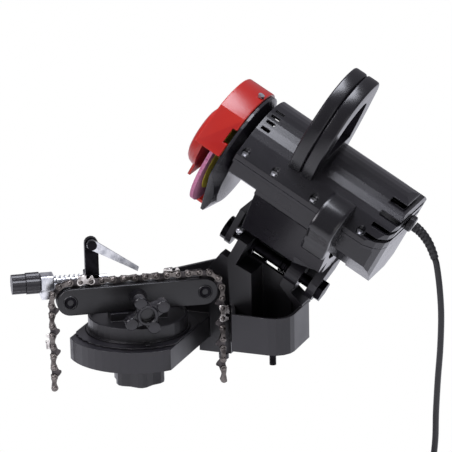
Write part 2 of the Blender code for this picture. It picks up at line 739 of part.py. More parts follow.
def lock_knob():
    """Lobed knob under the platform that clamps the turntable at its angle."""
    outline = []
    for step in range(KNOB_LOBES * KNOB_STEPS):
        angle = 2 * math.pi * step / (KNOB_LOBES * KNOB_STEPS)
        radius = KNOB_RADIUS * (0.93 + 0.07 * math.cos(KNOB_LOBES * angle))
        outline.append((radius * math.cos(angle), radius * math.sin(angle)))
    low = -BOSS_DEPTH - GAP - KNOB_DEPTH
    knob = plate("turntable_lock_knob", [outline], KNOB_DEPTH, (0, 0, low + KNOB_DEPTH / 2), "z", TURN)
    soften(knob, EDGE * 2)
    bolt_top = PLATFORM_HEIGHT + TABLE_TOP / 2
    bolt_low = low + KNOB_DEPTH / 2
    bolt = drum("lock_bolt", LOCK_BOLT_RADIUS, bolt_top - bolt_low, (0, 0, (bolt_top + bolt_low) / 2), "z", TURN, 20)
    join(knob, bolt)
    paint(knob, "black plastic")


def turntable():
    """Disc with its flange, recessed top and pedestal, and the bolt through the platform."""
    low = PLATFORM_HEIGHT + GAP
    flange_top = low + TABLE_FLANGE_THICK
    rim_in = TABLE_RADIUS - TABLE_RIM
    floor = TABLE_TOP - TABLE_RECESS
    profile = [(0, floor), (rim_in, floor), (rim_in, TABLE_TOP), (TABLE_RADIUS, TABLE_TOP)]
    profile += [(TABLE_RADIUS, flange_top), (TABLE_FLANGE_RADIUS, flange_top), (TABLE_FLANGE_RADIUS, low), (0, low)]
    disc = turned("turntable_disc", profile, (0, 0, 0), "z", TURN, 36)
    stand_height = VISE_LOW - GAP - floor + OVERRUN
    stand_size = (PEDESTAL_LENGTH, PEDESTAL_WIDTH, stand_height)
    stand = block("pedestal", stand_size, (0, 0, floor - OVERRUN + stand_height / 2), VISE, 0)
    join(disc, stand)
    bore = drum("disc_bore", LOCK_BOLT_RADIUS + GAP, TABLE_TOP, (0, 0, low), "z", TURN, 20)
    boolean(disc, bore)
    pointer_size = (TABLE_RIM * 2, TABLE_RIM * 4, POINTER_THICK)
    reach = TABLE_FLANGE_RADIUS + pointer_size[1] / 4
    join(disc, block("angle_pointer", pointer_size, (0, -reach, low + SCALE_THICK + pointer_size[2]), VISE, 0))
    paint(disc, "black plastic")


def bar_outline(length, height):
    """A bar with round ends, centred on the origin."""
    radius = height / 2
    points = arc((length / 2 - radius, 0), radius, -math.pi / 2, math.pi / 2, 8)
    points += arc((-(length / 2 - radius), 0), radius, math.pi / 2, math.pi * 3 / 2, 8)
    return points


def vise():
    """Two plates that grip the chain's drive links, their screws and spacers."""
    height = VISE_HIGH - VISE_LOW
    mid = (VISE_HIGH + VISE_LOW) / 2
    half_span = VISE_LENGTH / 2 - VISE_SCREW_INSET
    rear_y = VISE_SLOT / 2 + PLATE_THICK / 2
    front_y = -rear_y
    rear = plate("vise_rear_plate", [bar_outline(VISE_LENGTH, height)], PLATE_THICK, (0, rear_y, mid), "y", VISE)
    front = plate("vise_front_plate", [bar_outline(VISE_LENGTH, height)], PLATE_THICK, (0, front_y, mid), "y", VISE)
    for piece in (rear, front):
        soften(piece, EDGE)
    for index, x in enumerate((-half_span, 0, half_span)):
        for piece, y in ((rear, rear_y), (front, front_y)):
            hole = drum(f"{piece.name}_hole_{index}", VISE_SCREW_RADIUS + GAP, PLATE_THICK * 2, (x, y, mid), "y", VISE, 16)
            boolean(piece, hole)
        if x:
            ring_cut = drum(f"screw_seat_{index}", VISE_HEAD_RADIUS + GAP, PLATE_THICK / 3,
                            (x, front_y - PLATE_THICK / 2, mid), "y", VISE, 20)
            boolean(front, ring_cut)
    paint(rear, "black plastic")
    paint(front, "black plastic")
    for side, x in (("left", -half_span), ("right", half_span)):
        head_face = front_y - PLATE_THICK / 2 + PLATE_THICK / 6 - GAP
        head_y = head_face - VISE_HEAD_THICK / 2
        length = PLATE_THICK * 2 + VISE_SLOT
        shank = drum(f"vise_shank_{side}", VISE_SCREW_RADIUS, length, (x, head_face + length / 2 - OVERRUN / 2, mid),
                     "y", VISE, 16)
        head = drum(f"vise_screw_{side}", VISE_HEAD_RADIUS, VISE_HEAD_THICK, (x, head_y, mid), "y", VISE, 20)
        socket = drum(f"vise_socket_{side}", VISE_SCREW_RADIUS * 0.8, VISE_HEAD_THICK, (x, head_face - VISE_HEAD_THICK, mid),
                      "y", VISE, 6)
        join(head, shank)
        boolean(head, socket)
        paint(head, "zinc plate")

    face = -(VISE_SLOT / 2 + PLATE_THICK + GAP)
    stem_length = CLAMP_REACH - CLAMP_BAR_DEPTH
    stem = drum("clamp_knob", CLAMP_STEM_RADIUS, stem_length + OVERRUN, (0, face - (stem_length + OVERRUN) / 2, mid),
                "y", VISE, 24, CLAMP_STEM_RADIUS * 0.85)
    bar = plate("clamp_bar", [bar_outline(CLAMP_BAR, CLAMP_BAR_HEIGHT)], CLAMP_BAR_DEPTH,
                (0, face - CLAMP_REACH + CLAMP_BAR_DEPTH / 2, mid), "y", VISE)
    bar_place = Matrix.Translation((0, face - CLAMP_REACH + CLAMP_BAR_DEPTH / 2, mid))
    bar.matrix_local = bar_place @ FACING["y"] @ Matrix.Rotation(CLAMP_SLANT, 4, "Z")
    soften(bar, EDGE * 2)
    hub_length = CLAMP_BAR_DEPTH + OVERRUN
    hub = drum("clamp_hub", CLAMP_HUB_RADIUS, hub_length, (0, face - CLAMP_REACH + hub_length / 2 - OVERRUN, mid),
               "y", VISE, 28)
    recess_y = face - CLAMP_REACH - OVERRUN
    recess = drum("clamp_recess", CLAMP_RECESS_RADIUS, CLAMP_RECESS_DEPTH * 2, (0, recess_y, mid), "y", VISE, 28)
    join(stem, bar)
    join(stem, hub)
    boolean(stem, recess)
    screw_length = CLAMP_REACH / 2
    screw_y = face + PLATE_THICK * 1.5 + VISE_SLOT - screw_length / 2
    join(stem, drum("clamp_screw", CLAMP_SCREW_RADIUS, screw_length, (0, screw_y, mid), "y", VISE, 16))
    paint(stem, "black plastic")


def chain_stop():
    """Rod with spring and knobs behind the vise; it carries the post with the hinged pawl."""
    left_end = -(VISE_LENGTH / 2 + BRACKET_LENGTH)
    bracket_x = left_end + BRACKET_LENGTH / 2 + GAP
    vise_back = VISE_SLOT / 2 + PLATE_THICK
    bracket_y = vise_back + GAP + (STOP_BACK - vise_back + BRACKET_WIDTH / 2) / 2
    bracket_depth = STOP_BACK - vise_back + BRACKET_WIDTH / 2
    bracket_low = STOP_HEIGHT + BRACKET_WIDTH / 2 - BRACKET_HEIGHT
    size = (BRACKET_LENGTH, BRACKET_WIDTH, BRACKET_HEIGHT)
    bracket = block("stop_bracket", size, (bracket_x, STOP_BACK, bracket_low + BRACKET_HEIGHT / 2), VISE)
    foot_height = BRACKET_HEIGHT * 0.35
    foot_size = (BRACKET_LENGTH * 2, bracket_depth, foot_height)
    foot_x = left_end + GAP + BRACKET_LENGTH
    foot = block("bracket_foot", foot_size, (foot_x, bracket_y, bracket_low + foot_height / 2), VISE, 0)
    join(bracket, foot)
    bore = drum("rod_bore", STOP_ROD_RADIUS + GAP, BRACKET_LENGTH * 2, (bracket_x, STOP_BACK, STOP_HEIGHT), "x", VISE, 16)
    boolean(bracket, bore)
    paint(bracket, "black plastic")

    rod_end = left_end - STOP_KNOB_LENGTH * 1.5
    rod = drum("stop_rod", STOP_ROD_RADIUS, STOP_ROD_LENGTH, (rod_end + STOP_ROD_LENGTH / 2, STOP_BACK, STOP_HEIGHT),
               "x", VISE, 16)
    paint(rod, "zinc plate")
    knob_end = left_end - GAP
    for name, shrink in (("stop_adjust_knob", 1.0), ("stop_lock_ring", 0.92)):
        outline = []
        for step in range(STOP_KNOB_GROOVES * 2):
            angle = math.pi * step / STOP_KNOB_GROOVES
            radius = STOP_KNOB_RADIUS * shrink * (1 - 0.08 * (step % 2))
            outline.append((radius * math.cos(angle), radius * math.sin(angle)))
        middle = knob_end - STOP_KNOB_LENGTH / 2
        knob = plate(name, [outline], STOP_KNOB_LENGTH, (middle, STOP_BACK, STOP_HEIGHT), "x", VISE)
        through = name == "stop_adjust_knob"
        depth = STOP_KNOB_LENGTH * (2 if through else 1.4)
        bore_x = middle + STOP_KNOB_LENGTH * (0 if through else 0.5)
        boolean(knob, drum(f"{name}_bore", STOP_ROD_RADIUS + GAP, depth, (bore_x, STOP_BACK, STOP_HEIGHT), "x", VISE, 16))
        paint(knob, "black plastic")
        knob_end = middle - STOP_KNOB_LENGTH / 2 - GAP

    post_x = post_place()
    coil_start = left_end + BRACKET_LENGTH + GAP * 3
    coil_end = post_x - POST_WIDTH / 2 - GAP
    radius = STOP_ROD_RADIUS + SPRING_WIRE + GAP * 2
    turns = SPRING_TURNS + 2
    steps = turns * 10
    points = []
    for step in range(steps + 1):
        angle = 2 * math.pi * step / 10
        x = coil_start + SPRING_WIRE + (coil_end - coil_start - 2 * SPRING_WIRE) * step / steps
        points.append((x, STOP_BACK + radius * math.cos(angle), STOP_HEIGHT + radius * math.sin(angle)))
    least = (coil_end - coil_start - 2 * SPRING_WIRE) / turns - 2 * SPRING_WIRE
    print(f"stop spring: least gap between turns {least * 1000:.2f} mm")
    paint(tube("stop_spring", points, SPRING_WIRE, (0, 0, 0), VISE, 1), "zinc plate")

    carriage_depth = STOP_BACK + BRACKET_WIDTH / 2 - vise_back - GAP
    carriage_y = vise_back + GAP + carriage_depth / 2
    carriage = block("stop_carriage", (POST_WIDTH, carriage_depth, BRACKET_WIDTH), (post_x, carriage_y, STOP_HEIGHT), VISE)
    post_low = STOP_HEIGHT - BRACKET_WIDTH / 2
    post_high = POST_TOP - POST_WIDTH / 2
    post_y = post_plane()
    post_height = POST_TOP - post_low
    post = plate("stop_post_blank", [bar_outline(post_height, POST_WIDTH)], POST_THICK, (post_x, post_y, 0), "y", VISE)
    post_middle = Matrix.Translation((post_x, post_y, (POST_TOP + post_low) / 2))
    post.matrix_local = post_middle @ FACING["y"] @ Matrix.Rotation(math.pi / 2, 4, "Z")
    join(carriage, post)
    boolean(carriage, drum("carriage_bore", STOP_ROD_RADIUS + GAP, POST_WIDTH * 2, (post_x, STOP_BACK, STOP_HEIGHT),
                           "x", VISE, 16))
    pivot_z = post_high
    pin_bore = drum("pawl_pin_bore", PAWL_SCREW_RADIUS / 2 + GAP, POST_THICK * 3, (post_x, post_y, pivot_z), "y", VISE, 14)
    boolean(carriage, pin_bore)
    paint(carriage, "black plastic")

    face = post_y - POST_THICK / 2 - GAP
    pawl_y = face - PAWL_THICK / 2
    tip_x = post_x + PAWL_LENGTH * PAWL_RUN_SHARE
    tip_z = chain_top() + GAP * 2
    drop = pivot_z - tip_z
    half = PAWL_WIDTH / 2
    outline = arc((post_x, pivot_z), half, math.radians(50), math.radians(230), 8)
    outline += [(tip_x - half, tip_z + half * 0.6), (tip_x, tip_z), (tip_x + half * 0.3, tip_z + half * 0.8)]
    pawl = plate("stop_pawl", [outline], PAWL_THICK, (0, pawl_y, 0), "y", VISE)
    boolean(pawl, drum("pawl_bore", PAWL_SCREW_RADIUS / 2 + GAP, PAWL_THICK * 3, (post_x, pawl_y, pivot_z), "y", VISE, 14))
    paint(pawl, "zinc plate")
    head_y = pawl_y - PAWL_THICK / 2 - GAP - PAWL_THICK / 2
    screw = drum("pawl_screw", PAWL_SCREW_RADIUS, PAWL_THICK, (post_x, head_y, pivot_z), "y", VISE, 20)
    shank_length = POST_THICK + PAWL_THICK * 2
    shank_y = head_y + shank_length / 2
    join(screw, drum("pawl_shank", PAWL_SCREW_RADIUS / 2, shank_length, (post_x, shank_y, pivot_z), "y", VISE, 14))
    paint(screw, "zinc plate")


def post_place():
    """The post stands about halfway along the left half of the vise."""
    return -VISE_LENGTH / 2 * POST_PLACE_SHARE


def post_plane():
    """Middle of the post's thickness, just behind the chain."""
    return VISE_SLOT / 2 + STRAP_THICK * 2 + PAWL_THICK + POST_THICK / 2 + GAP * 3


def chain_top():
    mid = (VISE_HIGH + VISE_LOW) / 2
    return mid + chain_bend() + LINK_HEIGHT / 2


def chain_bend():
    """Radius of the rivet line round the ends of the vise plates."""
    return (VISE_HIGH - VISE_LOW) / 2 + LINK_HEIGHT / 2 + GAP * 3


def chain_point(run):
    """Place and heading of the rivet line at a distance from the top's left end."""
    radius = chain_bend()
    mid = (VISE_HIGH + VISE_LOW) / 2
    half = VISE_LENGTH / 2 - (VISE_HIGH - VISE_LOW) / 2
    quarter = radius * math.pi / 2
    if run < -quarter:
        return -half - radius, mid + run + quarter, math.pi / 2
    if run < 0:
        angle = -run / radius
        return -half - radius * math.sin(angle), mid + radius * math.cos(angle), angle
    if run <= 2 * half:
        return run - half, mid + radius, 0.0
    past = run - 2 * half
    if past < quarter:
        angle = past / radius
        return half + radius * math.sin(angle), mid + radius * math.cos(angle), -angle
    return half + radius, mid - (past - quarter), -math.pi / 2


def chain_outline(runs):
    """Plan of a chain layer from (run, offset) pairs: offset counts outwards from the rivet line."""
    points = []
    for run, offset in runs:
        x, z, heading = chain_point(run)
        points.append((x - offset * math.sin(heading), z + offset * math.cos(heading)))
    return points


def chain_links():
    """Numbers of the links from the left fall's end to the right fall's end."""
    top = int((VISE_LENGTH - VISE_HIGH + VISE_LOW) / PITCH)
    return range(-LEFT_FALL - END_LINKS, top + RIGHT_FALL + END_LINKS)


def chain():
    """A length of saw chain in the vise: a layer of drive links between two layers of straps."""
    rise = LINK_HEIGHT / 2
    outer = []
    inner = []
    for index in chain_links():
        start = index * PITCH
        outer += [(start, rise), (start + PITCH / 2, rise * SADDLE_SHARE)]
        if index % 2 == 0:
            inner += [(start, -rise), (start + PITCH * 0.30, -TANG_DEPTH), (start + PITCH * 0.75, -TANG_DEPTH)]
        else:
            inner += [(start, -rise), (start + PITCH / 2, -rise * SADDLE_SHARE)]
    outline = chain_outline(outer + inner[::-1])
    paint(plate("chain_drive_links", [outline], STRAP_THICK, (0, 0, 0), "y", VISE), "chain steel")
    for name, side, turn in (("chain_front_straps", -1, 0), ("chain_rear_straps", 1, 1)):
        outer = []
        inner = []
        cutters = []
        for index in chain_links():
            start = index * PITCH
            waist = rise * (STRAP_WAIST_SHARE if index % 2 == 0 else SADDLE_SHARE)
            outer.append((start, rise))
            if index % 8 == 1 and index // 8 % 2 == turn:
                outer += [(start + PITCH * 0.12, CUTTER_RISE), (start + PITCH * 0.86, CUTTER_RISE * 0.92)]
                cutters.append(start + PITCH * 0.49)
            else:
                outer.append((start + PITCH / 2, waist))
            inner += [(start, -rise), (start + PITCH / 2, -waist)]
        place_y = side * (STRAP_THICK + GAP)
        band = plate(name, [chain_outline(outer + inner[::-1])], STRAP_THICK, (0, place_y, 0), "y", VISE)
        for run in cutters:
            x, z, heading = chain_point(run)
            reach = STRAP_THICK * 3
            tooth = block(f"{name}_tooth_{len(band.modifiers)}", (PITCH * 0.62, reach, STRAP_THICK), (0, 0, 0), VISE, 0)
            lift = CUTTER_RISE - STRAP_THICK
            spot = (x - lift * math.sin(heading), place_y - side * (reach - STRAP_THICK * 0.9) / 2, z + lift * math.cos(heading))
            tooth.matrix_local = Matrix.Translation(spot) @ Matrix.Rotation(-heading, 4, "Y")
            join(band, tooth)
        paint(band, "chain steel")




def arch_section(inset, low):
    """Section of the upper housing: an arch over the motor, creased above its rim."""
    radius = ARCH_RADIUS - inset
    start = math.asin((CREASE_HEIGHT - inset) / radius)
    points = [(RIM_HALF - inset, low), (RIM_HALF - inset, RIM_HEIGHT + SHELL_WALL * 2 - inset)]
    points += arc((0, 0), radius, start, math.pi - start, 12)
    points += [(-RIM_HALF + inset, RIM_HEIGHT + SHELL_WALL * 2 - inset), (-RIM_HALF + inset, low)]
    return points


def tub_section(inset, half, depth, top, foot=None, middle=None):
    """Section of the lower housing, drawn in towards its floor."""
    wide = half - inset
    low = -depth + inset
    mid = low * (TUB_MID_SHARE if middle is None else middle)
    floor = wide * (TUB_FOOT_SHARE if foot is None else foot)
    return [(-wide, top), (-wide, mid), (-floor, low), (floor, low), (wide, mid), (wide, top)]


def end_cap(name, inset):
    """Rounds the housing's rear end in plan and over the top."""
    corner = SHELL_CORNER
    far = SHELL_END - inset
    half = RIM_HALF + OVERRUN - inset
    plan = [(-OVERRUN, -half), (far - corner, -half)]
    plan += arc((far - corner, -half + corner), corner, -math.pi / 2, 0, 4)
    plan += arc((far - corner, half - corner), corner, 0, math.pi / 2, 4)
    plan.append((-OVERRUN, half))
    cap = plate(name, [plan], ARCH_RADIUS * 4, (0, 0, 0), "z", MOTOR)
    top = ARCH_RADIUS - inset
    round_top = SHELL_TOP_CORNER
    side = [(-OVERRUN, -top * 2), (far, -top * 2)]
    side += arc((far - round_top, top - round_top), round_top, 0, math.pi / 2, 3)
    side.append((-OVERRUN, top))
    profile = plate(f"{name}_side", [side], RIM_HALF * 4, (0, 0, 0), "y", MOTOR)
    boolean(cap, profile, "INTERSECT")
    return cap


def upper_shell():
    """Housing over the motor, with vents at both ends and a lap on the lower shell."""
    length = SHELL_END - SHELL_FRONT
    middle = (SHELL_FRONT + SHELL_END) / 2
    shell = plate("upper_shell", [arch_section(0, RIM_HEIGHT + GAP)], length, (middle, 0, 0), "x", MOTOR)
    boolean(shell, end_cap("upper_end", 0), "INTERSECT")
    hollow = plate("upper_hollow", [arch_section(SHELL_WALL, RIM_HEIGHT - OVERRUN)], length, (middle - SHELL_WALL, 0, 0), "x", MOTOR)
    boolean(hollow, end_cap("upper_hollow_end", SHELL_WALL), "INTERSECT")
    boolean(shell, hollow)
    for index in range(REAR_VENTS):
        lift = CREASE_HEIGHT * (0.72 + 0.2 * index)
        size = (SHELL_CORNER, RIM_HALF * 3, VENT_HEIGHT)
        slot = block(f"rear_vent_{index}", size, (SHELL_END - SHELL_CORNER / 4, -RIM_HALF, lift), MOTOR, 0)
        boolean(shell, slot)
    for index in range(FRONT_VENTS):
        angle = math.radians(100 + VENT_STEP * index)
        centre = (SHELL_FRONT + VENT_HEIGHT * 2.2, ARCH_RADIUS * math.cos(angle), ARCH_RADIUS * math.sin(angle))
        slot = block(f"front_vent_{index}", (VENT_HEIGHT * 2.4, VENT_HEIGHT, SHELL_WALL * 4), centre, MOTOR, 0)
        turn = Matrix.Rotation(angle - math.pi / 2, 4, "X")
        slot.matrix_local = Matrix.Translation(centre) @ turn
        boolean(shell, slot)
    paint(shell, "black plastic")


def swung_wall(name, grown):
    """The base's front wall as the swung head meets it, turned back to where the tub stands at rest."""
    reach = SWING_CLEAR + grown
    size = (BODY_RIGHT * 4, BODY_DEPTH, BODY_HEIGHT + reach)
    place = (BODY_RIGHT, BODY_FRONT - reach + BODY_DEPTH / 2, (BODY_HEIGHT + reach) / 2)
    wall = block(name, size, place, SWUNG, 0)
    return wall


def lower_shell():
    """Tub under the motor: deep around it, shallow behind it, with its near corner clear of the base."""
    length = SHELL_END - SHELL_FRONT
    middle = (SHELL_FRONT + SHELL_END) / 2
    front = [TUB_FRONT_DEPTH, RIM_HEIGHT, TUB_FRONT_FOOT, TUB_FRONT_MID]
    shell = plate("lower_shell", [tub_section(0, TUB_HALF, *front)], length, (middle, 0, 0), "x", MOTOR)
    rear_length = SHELL_END - HUMP_START
    rear_middle = (SHELL_END + HUMP_START) / 2
    join(shell, plate("tub_rear", [tub_section(0, TUB_HALF - GAP, TUB_SHALLOW, RIM_HEIGHT - GAP * 2)], rear_length,
                      (rear_middle, 0, 0), "x", MOTOR))
    deep_length = HUMP_END - HUMP_START
    deep_middle = (HUMP_END + HUMP_START) / 2
    join(shell, plate("tub_deep", [tub_section(0, TUB_HALF - GAP * 2, TUB_DEEP, RIM_HEIGHT - GAP)], deep_length - GAP,
                      (deep_middle + GAP / 2, 0, 0), "x", MOTOR))
    rim_height = SHELL_WALL * 1.2
    rim_size = (length, RIM_HALF * 2, rim_height)
    join(shell, block("tub_rim", rim_size, (middle, 0, RIM_HEIGHT - rim_height / 2), MOTOR, 0))
    boolean(shell, end_cap("lower_end", 0), "INTERSECT")
    boolean(shell, swung_wall("base_clearance", 0))
    front[1] = RIM_HEIGHT + OVERRUN
    hollow = plate("tub_hollow", [tub_section(SHELL_WALL, TUB_HALF, *front)], length, (middle + SHELL_WALL, 0, 0), "x", MOTOR)
    join(hollow, plate("tub_rear_hollow", [tub_section(SHELL_WALL, TUB_HALF - GAP, TUB_SHALLOW, RIM_HEIGHT + OVERRUN * 2)],
                       rear_length, (rear_middle + SHELL_WALL, 0, 0), "x", MOTOR))
    join(hollow, plate("tub_deep_hollow", [tub_section(SHELL_WALL, TUB_HALF - GAP * 2, TUB_DEEP, RIM_HEIGHT + OVERRUN * 3)],
                       deep_length - SHELL_WALL * 2, (deep_middle, 0, 0), "x", MOTOR))
    boolean(hollow, end_cap("lower_hollow_end", SHELL_WALL), "INTERSECT")
    boolean(hollow, swung_wall("base_clearance_inside", SHELL_WALL))
    boolean(shell, hollow)
    shaft_way = drum("shaft_way", SHAFT_RADIUS * 2.2, SHELL_WALL * 4, (SHELL_FRONT, 0, 0), "x", MOTOR, 24)
    boolean(shell, shaft_way)
    paint(shell, "black plastic")


def housing_envelope(name):
    """Space that the closed housing takes, used to cut what is fitted round it."""
    length = SHELL_END - SHELL_FRONT
    middle = (SHELL_FRONT + SHELL_END) / 2
    space = plate(name, [arch_section(-GAP, RIM_HEIGHT - OVERRUN)], length, (middle, 0, 0), "x", MOTOR)
    tub = tub_section(-GAP, TUB_HALF, TUB_DEEP, RIM_HEIGHT)
    join(space, plate(f"{name}_tub", [tub], length, (middle, 0, 0), "x", MOTOR))
    rim_height = SHELL_WALL * 1.2 + GAP + OVERRUN
    rim_size = (length, (RIM_HALF + GAP) * 2, rim_height)
    join(space, block(f"{name}_rim", rim_size, (middle, 0, RIM_HEIGHT + OVERRUN - rim_height / 2), MOTOR, 0))
    return space


def loop_handle():
    """Two halves of the loop over the housing, with the trigger in the near leg."""
    outline = from_shares(LOOP_SHARES, LOOP_SIZE)
    hole = from_shares(LOOP_HOLE_SHARES, LOOP_SIZE)
    half_width = (LOOP_WIDTH - GAP) / 2
    for name, start in (("handle_left_half", LOOP_FRONT), ("handle_right_half", LOOP_FRONT + half_width + GAP)):
        half = plate(name, [outline, hole], half_width, (start + half_width / 2, 0, 0), "x", MOTOR)
        soften(half, EDGE * 1.5)
        boolean(half, housing_envelope(f"{name}_seat"))
        boolean(half, block(f"{name}_slot", trigger_size(GAP * 2, TRIGGER_TRAVEL + GAP), trigger_centre(TRIGGER_TRAVEL / 2), MOTOR, 0))
        paint(half, "black plastic")
    trigger = block("trigger", trigger_size(0, 0), trigger_centre(0), MOTOR)
    paint(trigger, "black plastic")


def trigger_size(play, travel):
    return TRIGGER_WIDTH + play, TRIGGER_DEPTH + travel, TRIGGER_HEIGHT + play


def trigger_centre(shift):
    across, up = TRIGGER_SHARES
    return LOOP_FRONT + LOOP_WIDTH / 2, across * LOOP_SIZE - shift, up * LOOP_SIZE


def front_grip():
    """The grip in front of the housing, pulled down to bring the wheel to the chain."""
    outline = from_shares(GRIP_SHARES, GRIP_SIZE)
    grip = plate("front_grip", [outline], GRIP_WIDTH, (GRIP_FRONT + GRIP_WIDTH / 2, 0, 0), "x", MOTOR)
    soften(grip, EDGE * 2)
    boolean(grip, housing_envelope("grip_seat"))
    paint(grip, "black plastic")


def screw_places():
    """Screws along the operator's rim of the housing."""
    return [(along, -SCREW_SIDE) for along in SCREW_STATIONS]


def screw_cuts(shell, upper):
    """Bosses and holes for the housing screws."""
    for index, (along, side) in enumerate(screw_places()):
        low = RIM_HEIGHT + GAP
        tag = f"{shell.name}_{index}"
        if upper:
            boss = drum(f"boss_{tag}", SCREW_HEAD_RADIUS + SCREW_RADIUS / 2, SCREW_SEAT, (along, side, low + SCREW_SEAT / 2),
                        "z", MOTOR, 8)
            join(shell, boss)
            pocket = drum(f"pocket_{tag}", SCREW_HEAD_RADIUS + GAP * 2, SCREW_SEAT * 2,
                          (along, side, low + SCREW_SEAT * 2), "z", MOTOR, 10)
            boolean(shell, pocket)
        boolean(shell, drum(f"hole_{tag}", SCREW_RADIUS + GAP, SCREW_SEAT * 5, (along, side, low), "z", MOTOR, 6))


def housing_screws():
    """Screws that draw the two shells together."""
    seat = RIM_HEIGHT + GAP * 2 + SCREW_SEAT
    for index, (along, side) in enumerate(screw_places()):
        head = drum(f"housing_screw_{index}", SCREW_HEAD_RADIUS, SCREW_HEAD_THICK, (along, side, seat + SCREW_HEAD_THICK / 2), "z", MOTOR, 10)
        length = SCREW_SEAT * 1.6
        join(head, drum(f"screw_shank_{index}", SCREW_RADIUS, length, (along, side, seat + GAP - length / 2 + SCREW_RADIUS / 2),
                        "z", MOTOR, 6))
        paint(head, "zinc plate")


def backing_plate():
    """Front bracket of the motor: it closes the housing, holds the bearing and carries the guard."""
    back = SHELL_FRONT - GAP
    seat = back - BEARING_WIDTH
    bore = BEARING_OUTER + GAP
    lip = SHAFT_RADIUS * 1.5
    rim = BACKING_PLACE + (back - BACKING_PLACE) * 0.25
    profile = [(bore, back), (BACKING_REAR_RADIUS, back), (BACKING_RADIUS, rim), (BACKING_RADIUS, BACKING_PLACE),
               (lip, BACKING_PLACE), (lip, seat), (bore, seat), (bore, back)]
    bracket = turned("backing_plate", profile, (0, 0, 0), "x", MOTOR, 40)
    flat_size = (BACKING_RADIUS * 2, BACKING_RADIUS * 2, BACKING_RADIUS)
    flat_place = (0, 0, -(BACKING_FLAT + BACKING_RADIUS / 2))
    side = pivot("backing_flat_side", (0, 0, 0), (-BACKING_FLAT_TURN, 0, 0), MOTOR)
    boolean(bracket, block("chain_clearance", flat_size, flat_place, side, 0))
    paint(bracket, "black plastic")


def motor():
    """Stator, rotor, bearings, brushes and fan, all on the wheel's axis."""
    stator = ring("motor_stator", MOTOR_RADIUS, ROTOR_RADIUS + GAP * 3, 0, MOTOR_LENGTH, (MOTOR_FRONT, 0, 0), "x", MOTOR, 24)
    paint(stator, "chain steel")
    end = MOTOR_FRONT + MOTOR_LENGTH
    bracket_place = end + BEARING_WIDTH * 1.5
    bracket = ring("rear_bearing_bracket", MOTOR_RADIUS, BEARING_OUTER + GAP, 0, BEARING_WIDTH, (bracket_place, 0, 0),
                   "x", MOTOR, 24)
    paint(bracket, "zinc plate")
    inner = SHAFT_RADIUS + GAP
    front_seat = SHELL_FRONT - GAP - BEARING_WIDTH + GAP
    for name, start in (("front_bearing", front_seat), ("rear_bearing", bracket_place)):
        bearing = ring(name, BEARING_OUTER, inner, 0, BEARING_WIDTH - GAP, (start, 0, 0), "x", MOTOR, 16)
        paint(bearing, "zinc plate")
    rotor = ring("rotor_core", ROTOR_RADIUS, inner, 0, MOTOR_LENGTH * 0.85, (MOTOR_FRONT + MOTOR_LENGTH * 0.07, 0, 0),
                 "x", MOTOR, 20)
    commutator_start = end + GAP * 4
    commutator_length = bracket_place - commutator_start - GAP * 3
    commutator_reach = BEARING_OUTER * 0.9
    core_end = MOTOR_FRONT + MOTOR_LENGTH * 0.07 + MOTOR_LENGTH * 0.85
    neck = commutator_start + commutator_length - core_end + OVERRUN
    join(rotor, ring("commutator", commutator_reach, inner, 0, neck, (core_end - OVERRUN, 0, 0), "x", MOTOR, 20))
    paint(rotor, "chain steel")
    holder_low = BEARING_OUTER + GAP * 3
    holder_size = (commutator_length * 0.6 + OVERRUN, MOTOR_RADIUS * 0.85 - holder_low, BEARING_WIDTH * 0.8)
    for side in (-1, 1):
        centre = (bracket_place + OVERRUN - holder_size[0] / 2, side * (holder_low + holder_size[1] / 2), 0)
        join(bracket, block(f"brush_holder_{side}", holder_size, centre, MOTOR, 0))
    outline = []
    for blade in range(FAN_BLADES):
        angle = 2 * math.pi * blade / FAN_BLADES
        for share, turn in ((0.40, -0.14), (1.0, 0.02), (1.0, 0.16), (0.40, 0.08)):
            radius = FAN_RADIUS * share
            outline.append((radius * math.cos(angle + turn), radius * math.sin(angle + turn)))
    fan_bore = arc((0, 0), inner, 0, 2 * math.pi * (1 - 1 / 16), 15)
    fan = plate("cooling_fan", [outline, fan_bore], BEARING_WIDTH * 0.8, (FAN_PLACE, 0, 0), "x", MOTOR)
    paint(fan, "black plastic")
    shaft_start = -(WHEEL_THICK / 2 + FLANGE_THICK + NUT_THICK + GAP * 3)
    shaft_end = bracket_place + BEARING_WIDTH
    shaft = drum("motor_shaft", SHAFT_RADIUS, shaft_end - shaft_start, ((shaft_start + shaft_end) / 2, 0, 0), "x", MOTOR, 20)
    paint(shaft, "zinc plate")


def cradle(shell):
    """Ribs in the tub that carry the stator and the rear bearing bracket."""
    low = -TUB_DEEP + SHELL_WALL - GAP
    height = MOTOR_RADIUS * 0.75
    for index, (start, width) in enumerate(((MOTOR_FRONT, 0.012), (MOTOR_FRONT + MOTOR_LENGTH * 0.7, 0.036))):
        size = (width, MOTOR_RADIUS, height)
        join(shell, block(f"cradle_{index}", size, (start + width / 2, 0, low + height / 2), MOTOR, 0))
    boolean(shell, swung_wall("base_clearance_ribs", 0))
    length = MOTOR_LENGTH * 2
    boolean(shell, drum("cradle_bore", MOTOR_RADIUS + GAP, length, (MOTOR_FRONT + length / 2 - OVERRUN, 0, 0), "x", MOTOR, 32))


